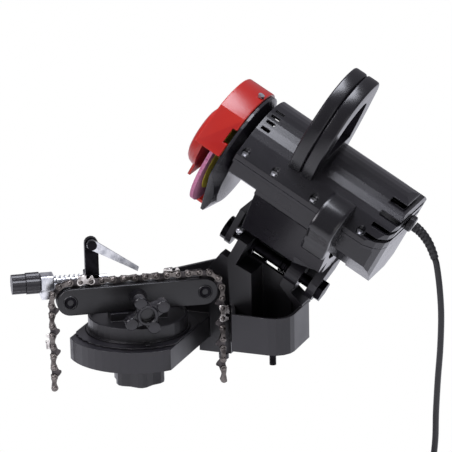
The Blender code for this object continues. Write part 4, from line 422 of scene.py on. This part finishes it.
def add_plate(bm, outline, thickness, matrix=WORLD, facing="z", centre=(0, 0, 0), rounding=0.0, steps=2, slot=0):
    """A flat shape drawn as an outline, made thick about its centre, with rounded edges."""
    shape = bmesh.new()
    corners = [shape.verts.new((x, y, -thickness / 2)) for x, y in outline]
    face = shape.faces.new(corners)
    solid = bmesh.ops.extrude_face_region(shape, geom=[face])
    top = [item for item in solid["geom"] if isinstance(item, bmesh.types.BMVert)]
    bmesh.ops.translate(shape, vec=(0, 0, thickness), verts=top)
    bmesh.ops.recalc_face_normals(shape, faces=shape.faces)
    if rounding:
        rounded_edges(shape, rounding, steps)
    add_mesh(bm, shape, matrix @ Matrix.Translation(centre) @ FACING[facing], slot)


def add_turned(bm, profile, matrix=WORLD, facing="z", centre=(0, 0, 0), sides=48, slot=0):
    """A turned shape: the profile's points are radius and height, and it closes on the axis."""
    shape = bmesh.new()
    rings = []
    for radius, height in profile:
        if radius < 1e-6:
            rings.append([shape.verts.new((0, 0, height))])
            continue
        turned = [2 * math.pi * side / sides for side in range(sides)]
        rings.append([shape.verts.new((radius * math.cos(at), radius * math.sin(at), height)) for at in turned])
    for low, high in zip(rings, rings[1:]):
        for side in range(sides):
            after = (side + 1) % sides
            quad = [low[side % len(low)], low[after % len(low)], high[after % len(high)], high[side % len(high)]]
            corners = list(dict.fromkeys(quad))
            if len(corners) > 2:
                shape.faces.new(corners)
    for end in (rings[0], rings[-1]):
        if len(end) > 1 and rings[0] is not rings[-1]:
            shape.faces.new(end)
    bmesh.ops.recalc_face_normals(shape, faces=shape.faces)
    add_mesh(bm, shape, matrix @ Matrix.Translation(centre) @ FACING[facing], slot)


def add_tube(bm, points, radii, sides=16, slot=0):
    """A round bar along points, with one radius for each of them."""
    shape = bmesh.new()
    ahead = (points[1] - points[0]).normalized()
    side_way = ahead.orthogonal().normalized()
    rings = []
    for index, point in enumerate(points):
        before = points[max(index - 1, 0)]
        after = points[min(index + 1, len(points) - 1)]
        new_ahead = (after - before).normalized()
        side_way = (side_way - new_ahead * side_way.dot(new_ahead)).normalized()
        up = new_ahead.cross(side_way)
        turned = [2 * math.pi * side / sides for side in range(sides)]
        rings.append([shape.verts.new(point + (side_way * math.cos(at) + up * math.sin(at)) * radii[index])
                      for at in turned])
    for low, high in zip(rings, rings[1:]):
        for side in range(sides):
            after = (side + 1) % sides
            shape.faces.new((low[side], low[after], high[after], high[side]))
    shape.faces.new(rings[0])
    shape.faces.new(rings[-1])
    bmesh.ops.recalc_face_normals(shape, faces=shape.faces)
    add_mesh(bm, shape, WORLD, slot)


def arc(centre, radius, start, end, steps):
    """Points on an arc in the plane, angles in radians."""
    turned = [start + (end - start) * step / steps for step in range(steps + 1)]
    return [(centre[0] + radius * math.cos(at), centre[1] + radius * math.sin(at)) for at in turned]


def smooth_line(places, per_gap=8):
    """A smooth curve through points (Catmull-Rom)."""
    places = [Vector(place) for place in places]
    ends = [places[0] * 2 - places[1]] + places + [places[-1] * 2 - places[-2]]
    fine = []
    for index in range(1, len(ends) - 2):
        before, start, finish, after = ends[index - 1:index + 3]
        for step in range(per_gap):
            share = step / per_gap
            ahead = (finish - before) * share
            bend = (before * 2 - start * 5 + finish * 4 - after) * share ** 2
            twist = (start * 3 - before - finish * 3 + after) * share ** 3
            fine.append((start * 2 + ahead + bend + twist) / 2)
    fine.append(places[-1])
    return fine


def length_of(points):
    return sum((finish - start).length for start, finish in zip(points, points[1:]))


def cut_away(bm, cutters):
    """Take cutters out of a shape and return what is left."""
    holders = []
    for shape in [bm] + cutters:
        mesh = bpy.data.meshes.new("cutting")
        shape.to_mesh(mesh)
        shape.free()
        holders.append(bpy.data.objects.new("cutting", mesh))
        bpy.context.scene.collection.objects.link(holders[-1])
    for cutter in holders[1:]:
        step = holders[0].modifiers.new("cut", "BOOLEAN")
        step.operation, step.solver, step.object = "DIFFERENCE", "EXACT", cutter
    bpy.context.view_layer.update()
    left = bmesh.new()
    left.from_object(holders[0], bpy.context.evaluated_depsgraph_get())
    for holder in holders:
        mesh = holder.data
        bpy.data.objects.remove(holder)
        bpy.data.meshes.remove(mesh)
    return left


def block(low, high):
    """Box between two corners in the motor's directions, used as a cutter."""
    low, high = Vector(low), Vector(high)
    shape = bmesh.new()
    bmesh.ops.create_cube(shape, size=1.0)
    shape.transform(MOTOR @ Matrix.Translation((low + high) / 2) @ Matrix.Diagonal((*(high - low), 1)))
    return shape


def slot_for(node, play, travel):
    """Cutter round a model part with some play, longer towards the operator by the part's travel."""
    places = [MOTOR.inverted() @ vertex.co for vertex in frame["nodes"][node].data.vertices]
    low = [min(place[axis] for place in places) - play for axis in range(3)]
    high = [max(place[axis] for place in places) + play for axis in range(3)]
    return block((low[0], low[1] - travel, low[2]), high)


print("nodes in the model:", len(body_of_node))

# %% [markdown]
# ## Mains lead
#
# The photograph shows the lead leave the rear of the housing through a ribbed sleeve and hang
# straight past the edge of the bench. Its end is out of the picture, so the rest of a two metre
# lead is wound up and tied below. A cord is best made first and as one line, because its length
# is real: a tube of one thickness follows the line.

# %% Cord, sleeve, tie and plug
CORD_RADIUS = 0.0028
RELIEF_ROUTE = [(0.1440, -0.0080, 0.1221), (0.1483, -0.0080, 0.1190), (0.1525, -0.0080, 0.1147),
                (0.1564, -0.0080, 0.1092), (0.1597, -0.0080, 0.1025), (0.1622, -0.0080, 0.0955)]
CORD_ROUTE = [(0.1623, -0.0080, 0.0951), (0.1640, -0.0080, 0.0890), (0.1665, -0.0080, 0.0700),
              (0.1680, -0.0080, 0.0450), (0.1672, -0.0080, 0.0150), (0.1650, -0.0080, -0.0150),
              (0.1634, -0.0080, -0.0450), (0.1630, -0.0088, -0.0700), (0.1622, -0.0150, -0.0915),
              (0.16155, -0.0285, -0.1060), (0.16135, -0.0405, -0.1107), (0.16135, -0.0486, -0.1110)]
COIL_CENTRE = (0.1145, -0.0545)
COIL_RADIUS = 0.036
COIL_TURNS = 7
COIL_STEP = 0.0062
COIL_FLOOR = -0.120
TUBE_SIDES = 10
RIBS = 9
RIB_HEIGHT = 0.00045
PLAIN_RIM = 0.0003
SLEEVE_RADIUS = 0.0042
SLEEVE_TAPER = 0.0010


def coil_line(steps=36):
    """Loops of the stored lead: inwards along the floor, a climb, and out again on top."""
    half = COIL_TURNS / 2
    outer = COIL_RADIUS + COIL_STEP * half / 2
    line = []
    for step in range(COIL_TURNS * steps + 1):
        turn = step / steps
        radius = outer - COIL_STEP * (turn if turn <= half else COIL_TURNS - turn)
        climb = min(max((turn - half + 0.25) / 0.5, 0), 1)
        at = 2 * math.pi * turn
        line.append(Vector((COIL_CENTRE[0] + radius * math.cos(at), COIL_CENTRE[1] + radius * math.sin(at),
                            COIL_FLOOR + CORD_RADIUS + COIL_STEP * climb)))
    return line


coil = coil_line()
plug_lead = [coil[0] - Vector((0, COIL_RADIUS, 0)), coil[0] - Vector((0, CORD_RADIUS * 2, 0))]
line = smooth_line(CORD_ROUTE) + list(reversed(plug_lead + coil))
tube = bmesh.new()
add_tube(tube, line, [CORD_RADIUS] * len(line), TUBE_SIDES)
lead_mesh = bpy.data.meshes.new("mains_lead")
tube.to_mesh(lead_mesh)
tube.free()
lead_mesh.shade_smooth()
lead_mesh.materials.append(SOFT_PVC)
lead = bpy.data.objects.new("mains_lead", lead_mesh)
bpy.context.scene.collection.objects.link(lead)
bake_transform(lead)
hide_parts("cord", "cord_coil")

sleeve = bmesh.new()
sleeve_line = smooth_line(RELIEF_ROUTE, 10)
sleeve_radii = []
for index in range(len(sleeve_line)):
    share = index / (len(sleeve_line) - 1)
    rib = RIB_HEIGHT * (0.5 + 0.5 * math.cos(2 * math.pi * RIBS * share))
    sleeve_radii.append(SLEEVE_RADIUS - SLEEVE_TAPER * share + (rib if 0.08 < share < 0.95 else PLAIN_RIM))
add_tube(sleeve, sleeve_line, sleeve_radii, 20)
publish("lead_sleeve", sleeve, SOFT_PVC, "head", ["strain_relief"], math.radians(50))

print(f"lead: {length_of(line):.2f} m")

# %% [markdown]
# ## Saw chain
#
# A saw chain has three layers. Drive links with a tang run in the middle, and two rows of straps
# hold them from both sides, riveted at every joint. Every fourth strap pair carries a cutter: a
# depth gauge in front, and a tooth whose top plate folds over the chain. We draw each link once as
# an outline from rivet to rivet and then place it along the line that the rivets follow round the
# vise, as the chain bends only at its rivets.

# %% The line of rivets
PITCH = 0.00953
VISE_LENGTH = 0.142
VISE_LOW = 0.038
VISE_HIGH = 0.062
LINK_HEIGHT = 0.0072
STRAP_THICK = 0.0011
LAYER_GAP = 0.0003
VISE_MIDDLE = (VISE_HIGH + VISE_LOW) / 2
BEND = (VISE_HIGH - VISE_LOW) / 2 + LINK_HEIGHT / 2 + LAYER_GAP * 3
TOP_HALF = VISE_LENGTH / 2 - (VISE_HIGH - VISE_LOW) / 2
FIRST_LINK = -11
LAST_LINK = int((VISE_LENGTH - VISE_HIGH + VISE_LOW) / PITCH) + 12
LINK_EDGE = 0.0002
TOP_PLATE_HEIGHT = 0.0050
TOP_PLATE_THICK = 0.0008
TOP_PLATE_TILT = Matrix.Rotation(-0.10, 4, "Y")
RIVET_PROFILE = [(0.0021, 0), (0.0019, 0.0004), (0.0010, 0.0009), (0, 0.0010)]
TOP_PLATE = [(-PITCH * 0.22, -0.0004), (PITCH * 0.58, -0.0004), (PITCH * 0.50, 0.0036), (-PITCH * 0.18, 0.0024)]


def rivet_at(run):
    """Place of the rivet line, in the vise's x and z, at a distance from the top's left end."""
    quarter = BEND * math.pi / 2
    if run < -quarter:
        return Vector((-TOP_HALF - BEND, VISE_MIDDLE + run + quarter))
    if run < 0:
        return Vector((-TOP_HALF - BEND * math.sin(-run / BEND), VISE_MIDDLE + BEND * math.cos(-run / BEND)))
    if run <= 2 * TOP_HALF:
        return Vector((run - TOP_HALF, VISE_MIDDLE + BEND))
    past = run - 2 * TOP_HALF
    if past < quarter:
        return Vector((TOP_HALF + BEND * math.sin(past / BEND), VISE_MIDDLE + BEND * math.cos(past / BEND)))
    return Vector((TOP_HALF + BEND, VISE_MIDDLE - (past - quarter)))


def link_shape(kind):
    """Outline from the rivet at 0 to the rivet at one pitch; y points away from the vise."""
    end = LINK_HEIGHT * 0.46
    waist = LINK_HEIGHT * 0.30
    left = arc((0, 0), end, math.radians(125), math.radians(270), 7)
    right = arc((PITCH, 0), end, math.radians(-90), math.radians(55), 7)
    if kind == "drive":
        below = [(PITCH * 0.20, -LINK_HEIGHT * 0.72), (PITCH * 0.42, -LINK_HEIGHT * 0.93),
                 (PITCH * 0.60, -LINK_HEIGHT * 0.93), (PITCH * 0.72, -LINK_HEIGHT * 0.60)]
        above = [(PITCH * 0.70, waist), (PITCH * 0.5, waist * 0.8), (PITCH * 0.30, waist)]
    elif kind == "strap":
        below = [(PITCH * 0.30, -waist), (PITCH * 0.5, -waist * 0.85), (PITCH * 0.70, -waist)]
        above = [(PITCH * 0.70, waist), (PITCH * 0.5, waist * 0.85), (PITCH * 0.30, waist)]
    else:
        below = [(PITCH * 0.30, -waist), (PITCH * 0.5, -waist * 0.85), (PITCH * 0.70, -waist)]
        right = arc((PITCH, 0), end, math.radians(-90), math.radians(20), 5)
        above = [(PITCH * 1.18, 0.0047), (PITCH * 1.10, 0.0056), (PITCH * 0.92, 0.0052), (PITCH * 0.80, 0.0030),
                 (PITCH * 0.64, 0.0024), (PITCH * 0.54, 0.0034), (PITCH * 0.58, 0.0061), (PITCH * 0.10, 0.0057),
                 (-PITCH * 0.22, 0.0050)]
        left = arc((0, 0), end, math.radians(165), math.radians(270), 5)
    return left + below + right + above


chain = bmesh.new()
rivets = 0
for index in range(FIRST_LINK, LAST_LINK):
    first = rivet_at(index * PITCH)
    second = rivet_at((index + 1) * PITCH)
    heading = math.atan2(second.y - first.y, second.x - first.x)
    start = VISE @ Matrix.Translation((first.x, 0, first.y)) @ Matrix.Rotation(-heading, 4, "Y")
    if index % 2 == 0:
        add_plate(chain, link_shape("drive"), STRAP_THICK, start, "y", (0, 0, 0), LINK_EDGE, 1, 0)
    for side, phase in ((-1, 0), (1, 1)):
        offset = side * (STRAP_THICK + LAYER_GAP)
        if index % 2:
            cutter = index % 8 == 1 and index // 8 % 2 == phase
            add_plate(chain, link_shape("cutter" if cutter else "strap"), STRAP_THICK, start, "y", (0, offset, 0),
                      LINK_EDGE, 1, 2 if cutter else 1)
            if cutter:
                flipped = [(x, -side * y) for x, y in TOP_PLATE]
                slope = start @ Matrix.Translation((0, offset, TOP_PLATE_HEIGHT)) @ TOP_PLATE_TILT
                add_plate(chain, flipped, TOP_PLATE_THICK, slope, "z", (0, 0, TOP_PLATE_THICK / 2), LINK_EDGE, 1, 2)
    face = start @ Matrix.Translation((0, -(STRAP_THICK * 1.5 + LAYER_GAP), 0)) @ TO_OPERATOR
    add_turned(chain, RIVET_PROFILE, face, "z", (0, 0, 0), 14, 3)
    rivets += 1
publish("saw_chain", chain, [DRIVE_STEEL_PAINTED_SHADE, CHAIN_STEEL, CUTTER_STEEL, RIVET_STEEL], "turntable",
        ["chain_drive_links", "chain_front_straps", "chain_rear_straps"], math.radians(40))
print("chain:", LAST_LINK - FIRST_LINK, "links,", rivets, "rivets")

# %% [markdown]
# ## Vise and clamp knob
#
# The two jaws are cast bars with round ends and a soft edge. Black screws with a socket hold them
# at both ends. The knob in the middle is moulded round its screw: a hub with a deep round recess
# and four wings, slanted as it was left after the last clamping.

# %% Jaws, their screws and the knob
PLATE_THICK = 0.005
VISE_SLOT = 0.0022
JAW_EDGE = 0.0012
JAW_FACE = VISE_SLOT / 2 + PLATE_THICK
JAW_SCREWS = {"left": -0.0595, "right": 0.0595}
RING_PROFILE = [(0.0062, -0.0010), (0.0062, 0.0004), (0.0058, 0.0008), (0.0054, 0.0008), (0.0050, 0.0004),
                (0.0050, -0.0010)]
SCREW_PROFILE = [(0.0050, -0.0012), (0.0050, 0.0004), (0.0046, 0.0008), (0.0030, 0.0008), (0.0027, 0.0004),
                 (0.0027, -0.0010), (0, -0.0010)]
KNOB_GAP = 0.0003
KNOB_TURN = 26
HUB_PROFILE = [(0.0080, 0), (0.0076, 0.003), (0.0068, 0.020), (0.0066, 0.037), (0.0092, 0.0385), (0.0092, 0.0485),
               (0.0086, 0.0500), (0.0070, 0.0500), (0.0063, 0.0494), (0.0063, 0.0440), (0, 0.0440)]
WING_PLACES = {0: 0.0155, 90: 0.0125}
WING_LENGTH = 0.0115
WING_HEIGHT = 0.0112
WING_PLACE = 0.0440
WEB_START = 0.0068
WEB_THICK = 0.0095
WEB_PLACE = 0.0436


def bar_outline(length, height, steps=18):
    """A bar with round ends, centred on the origin."""
    radius = height / 2
    points = arc((length / 2 - radius, 0), radius, -math.pi / 2, math.pi / 2, steps)
    return points + arc((-(length / 2 - radius), 0), radius, math.pi / 2, math.pi * 3 / 2, steps)


def on_jaw(x, gap=0.0):
    """Matrix of a turned shape that stands on the front jaw's face."""
    return VISE @ Matrix.Translation((x, -(JAW_FACE + gap), VISE_MIDDLE)) @ TO_OPERATOR


for name, node, side, body in (("front_jaw", "vise_front_plate", -1, "front_jaw"),
                               ("rear_jaw", "vise_rear_plate", 1, "turntable")):
    jaw = bmesh.new()
    middle = (0, side * (VISE_SLOT + PLATE_THICK) / 2, VISE_MIDDLE)
    add_plate(jaw, bar_outline(VISE_LENGTH, VISE_HIGH - VISE_LOW), PLATE_THICK, VISE, "y", middle, JAW_EDGE, 3)
    if side < 0:
        for x in JAW_SCREWS.values():
            add_turned(jaw, RING_PROFILE, on_jaw(x), sides=40)
    publish(name, jaw, MATT_NYLON, body, [node])

for name, x in JAW_SCREWS.items():
    screw = bmesh.new()
    add_turned(screw, SCREW_PROFILE, on_jaw(x), sides=40)
    node = f"vise_screw_{name}"
    publish(f"jaw_screw_{name}", screw, BLACK_OXIDE, body_of_node[node], [node])

knob = bmesh.new()
face = on_jaw(0, KNOB_GAP)
add_turned(knob, HUB_PROFILE, face)
for turn, reach in WING_PLACES.items():
    wing_face = face @ Matrix.Rotation(math.radians(KNOB_TURN + turn), 4, "Z")
    for way in (reach, -reach):
        wing = [(x + way, y) for x, y in bar_outline(WING_LENGTH, WING_HEIGHT, 8)]
        add_plate(knob, wing, WING_LENGTH, wing_face, "z", (0, 0, WING_PLACE), 0.0016, 3)
        inner = math.copysign(WEB_START, way)
        web = [(way * 1.2, -0.0045), (way * 1.2, 0.0045), (inner, 0.0062), (inner, -0.0062)]
        add_plate(knob, web if way < 0 else web[::-1], WEB_THICK, wing_face, "z", (0, 0, WEB_PLACE), 0.0010, 2)
publish("clamp_wing_knob", knob, POLISHED_ABS, "clamp", ["clamp_knob"])
print("vise is ready")

# %% [markdown]
# ## Handle and grip
#
# The handles are clam shells with a soft edge, drawn as a smooth curve through a few points. The
# trigger's slot and the loop's hole are cut with a boolean, as they are in the mould.

# %% Handle halves and grip
LOOP_UNIT = 0.060
LOOP_START = 0.061
LOOP_BROAD = 0.025
SEAM = 0.0002
LOOP_EDGE = 0.0028
LOOP_LINE = [(-0.75, 0.60), (-0.88, 0.98), (-0.89, 1.32), (-0.84, 1.55), (-0.68, 1.86), (-0.35, 2.08),
             (0.04, 2.13), (0.24, 1.98), (0.33, 1.72), (0.43, 1.33), (0.48, 0.80), (0.30, 0.60)]
HOLE_LINE = [(-0.58, 0.98), (-0.62, 1.32), (-0.57, 1.50), (-0.45, 1.66), (-0.24, 1.80), (-0.04, 1.80),
             (0.06, 1.62), (0.15, 1.32), (0.20, 1.12)]
GRIP_LINE = [(-0.72, 0.52), (-0.90, 0.80), (-1.20, 0.76), (-1.37, 0.62), (-1.45, 0.40), (-1.30, 0.18),
             (-1.25, 0.05), (-1.13, -0.10), (-0.86, 0.02)]
GRIP_START = 0.1085
GRIP_BROAD = 0.023
GRIP_EDGE = 0.0035
TRIGGER_PRESS = 0.0035
TRIGGER_PLAY = 0.0008
CLAM_SHARP = math.radians(30)


def rounded_line(shares, unit):
    """Smooth outline in the plane through points given as shares of a unit."""
    places = smooth_line([Vector((x * unit, y * unit, 0)) for x, y in shares], 6)
    return [(place.x, place.y) for place in places]


half_broad = (LOOP_BROAD - SEAM) / 2
for name, start in (("handle_left_half", LOOP_START), ("handle_right_half", LOOP_START + half_broad + SEAM)):
    half = bmesh.new()
    middle = (start + half_broad / 2, 0, 0)
    add_plate(half, rounded_line(LOOP_LINE, LOOP_UNIT), half_broad, MOTOR, "x", middle, LOOP_EDGE, 3)
    hole = bmesh.new()
    add_plate(hole, rounded_line(HOLE_LINE, LOOP_UNIT), half_broad * 2, MOTOR, "x", middle)
    half = cut_away(half, [hole, slot_for("trigger", TRIGGER_PLAY, TRIGGER_PRESS)])
    publish(name + "_moulding", half, POLISHED_ABS, "head", [name], CLAM_SHARP)
grip = bmesh.new()
grip_middle = (GRIP_START + GRIP_BROAD / 2, 0, 0)
add_plate(grip, rounded_line(GRIP_LINE, LOOP_UNIT), GRIP_BROAD, MOTOR, "x", grip_middle, GRIP_EDGE, 4)
publish("front_grip_moulding", grip, POLISHED_ABS, "head", ["front_grip"], CLAM_SHARP)
print("handle halves and grip are ready")

# %% [markdown]
# ## Wheel guard
#
# The guard is one red moulding: a rim round the wheel with a flat towards the operator, a face with
# a domed hub that clears the wheel's nut, and an opening below where the wheel meets the chain.

# %% Guard with its dome and its stepped rear edge
GUARD_OUTER = 0.060
GUARD_THICK = 0.0025
GUARD_NEAR = -0.0165
GUARD_FAR = 0.0089
GUARD_EDGE = 0.0016
GUARD_SHARP = math.radians(13)
FLAT_SHARE = 0.267
GUARD_TOP = GUARD_OUTER * FLAT_SHARE
RIM_END = 0.0018
FACE_END = -0.0139
LIP_HEIGHT = -0.036
LIP_END = 0.034
LIP_START = -0.0085
NOTCH_LENGTH = 0.0045
NOTCH_SIDE = -0.034
NOTCH_LOW = 0.026
NOTCH_HIGH = 0.038
DOME_PROFILE = [(0.0292, GUARD_THICK), (0.0290, -0.0010), (0.0276, -0.0048), (0.0250, -0.0076), (0.0215, -0.0092),
                (0.0150, -0.0095), (0, -0.0095)]


def guard_line(inset):
    """Rim of the guard as a fine outline, with a flat towards the operator."""
    radius = GUARD_OUTER - inset
    return arc((0, 0), radius, -math.radians(165), math.radians(128), 72) + [(-radius, radius * FLAT_SHARE)]


depth = GUARD_FAR - GUARD_NEAR
cover = bmesh.new()
add_plate(cover, guard_line(0), depth, MOTOR, "x", (GUARD_NEAR + depth / 2, 0, 0), GUARD_EDGE, 3)
hollow = bmesh.new()
add_plate(hollow, guard_line(GUARD_THICK), depth, MOTOR, "x", (GUARD_NEAR + GUARD_THICK + depth / 2, 0, 0))
far = GUARD_OUTER * 1.5
cover = cut_away(cover, [
    hollow,
    block((GUARD_NEAR + GUARD_THICK, -far, -far), (far, RIM_END, GUARD_TOP)),
    block((-far, -far, -far), (GUARD_NEAR + GUARD_THICK * 2, FACE_END, GUARD_TOP + SEAM)),
    block((-far, -far, -far), (LIP_START, LIP_END, LIP_HEIGHT)),
    block((GUARD_FAR - NOTCH_LENGTH, -far, NOTCH_LOW), (far, NOTCH_SIDE, NOTCH_HIGH)),
])
add_turned(cover, DOME_PROFILE, MOTOR, "x", (GUARD_NEAR, 0, 0), 64)
publish("wheel_guard_moulding", cover, RED_ABS, "head", ["wheel_guard"], GUARD_SHARP)
print("guard is ready")

# %% [markdown]
# ## Finishes of the pieces that keep their shape
#
# Small parts such as nuts, washers and bearings have the right shape already, so they only get
# their material. A table of finishes keeps that in one place.

# %% Finishes for the model's own parts
KEEPS_SHAPE = (
    (ZINC_PLATE, "inner_flange outer_flange wheel_nut motor_shaft front_bearing rear_bearing rear_bearing_bracket "
                 "stop_rod stop_spring stop_bracket stop_pawl guard_screw housing_screw_0 housing_screw_1 "
                 "housing_screw_2 housing_screw_3 depth_screw"),
    (CHAIN_STEEL, "rotor_core motor_stator"),
    (BLACK_OXIDE, "hinge_pin hinge_collar hinge_nut bench_bolt_0 bench_bolt_1 return_spring pawl_screw "
                  "stop_carriage"),
    (MATT_NYLON, "base_body swing_yoke turntable_disc turntable_lock_knob stop_adjust_knob stop_lock_ring cord_gland "
                 "cooling_fan angle_scale edge_bumper"),
    (POLISHED_ABS, "upper_shell lower_shell trigger backing_plate"),
    (SOFT_PVC, "plug_body coil_tie"),
    (CORUNDUM, "grinding_wheel"),
    (YELLOW_BLOTTER, "wheel_label"),
)
for finish, names in KEEPS_SHAPE:
    for node in names.split():
        mesh = frame["nodes"][node].data
        mesh.materials.clear()
        mesh.materials.append(finish)
print("finished nodes:", sum(len(names.split()) for _, names in KEEPS_SHAPE))

# %% [markdown]
# The last cell brings the scene up to date.

# %% The end
bpy.context.view_layer.update()
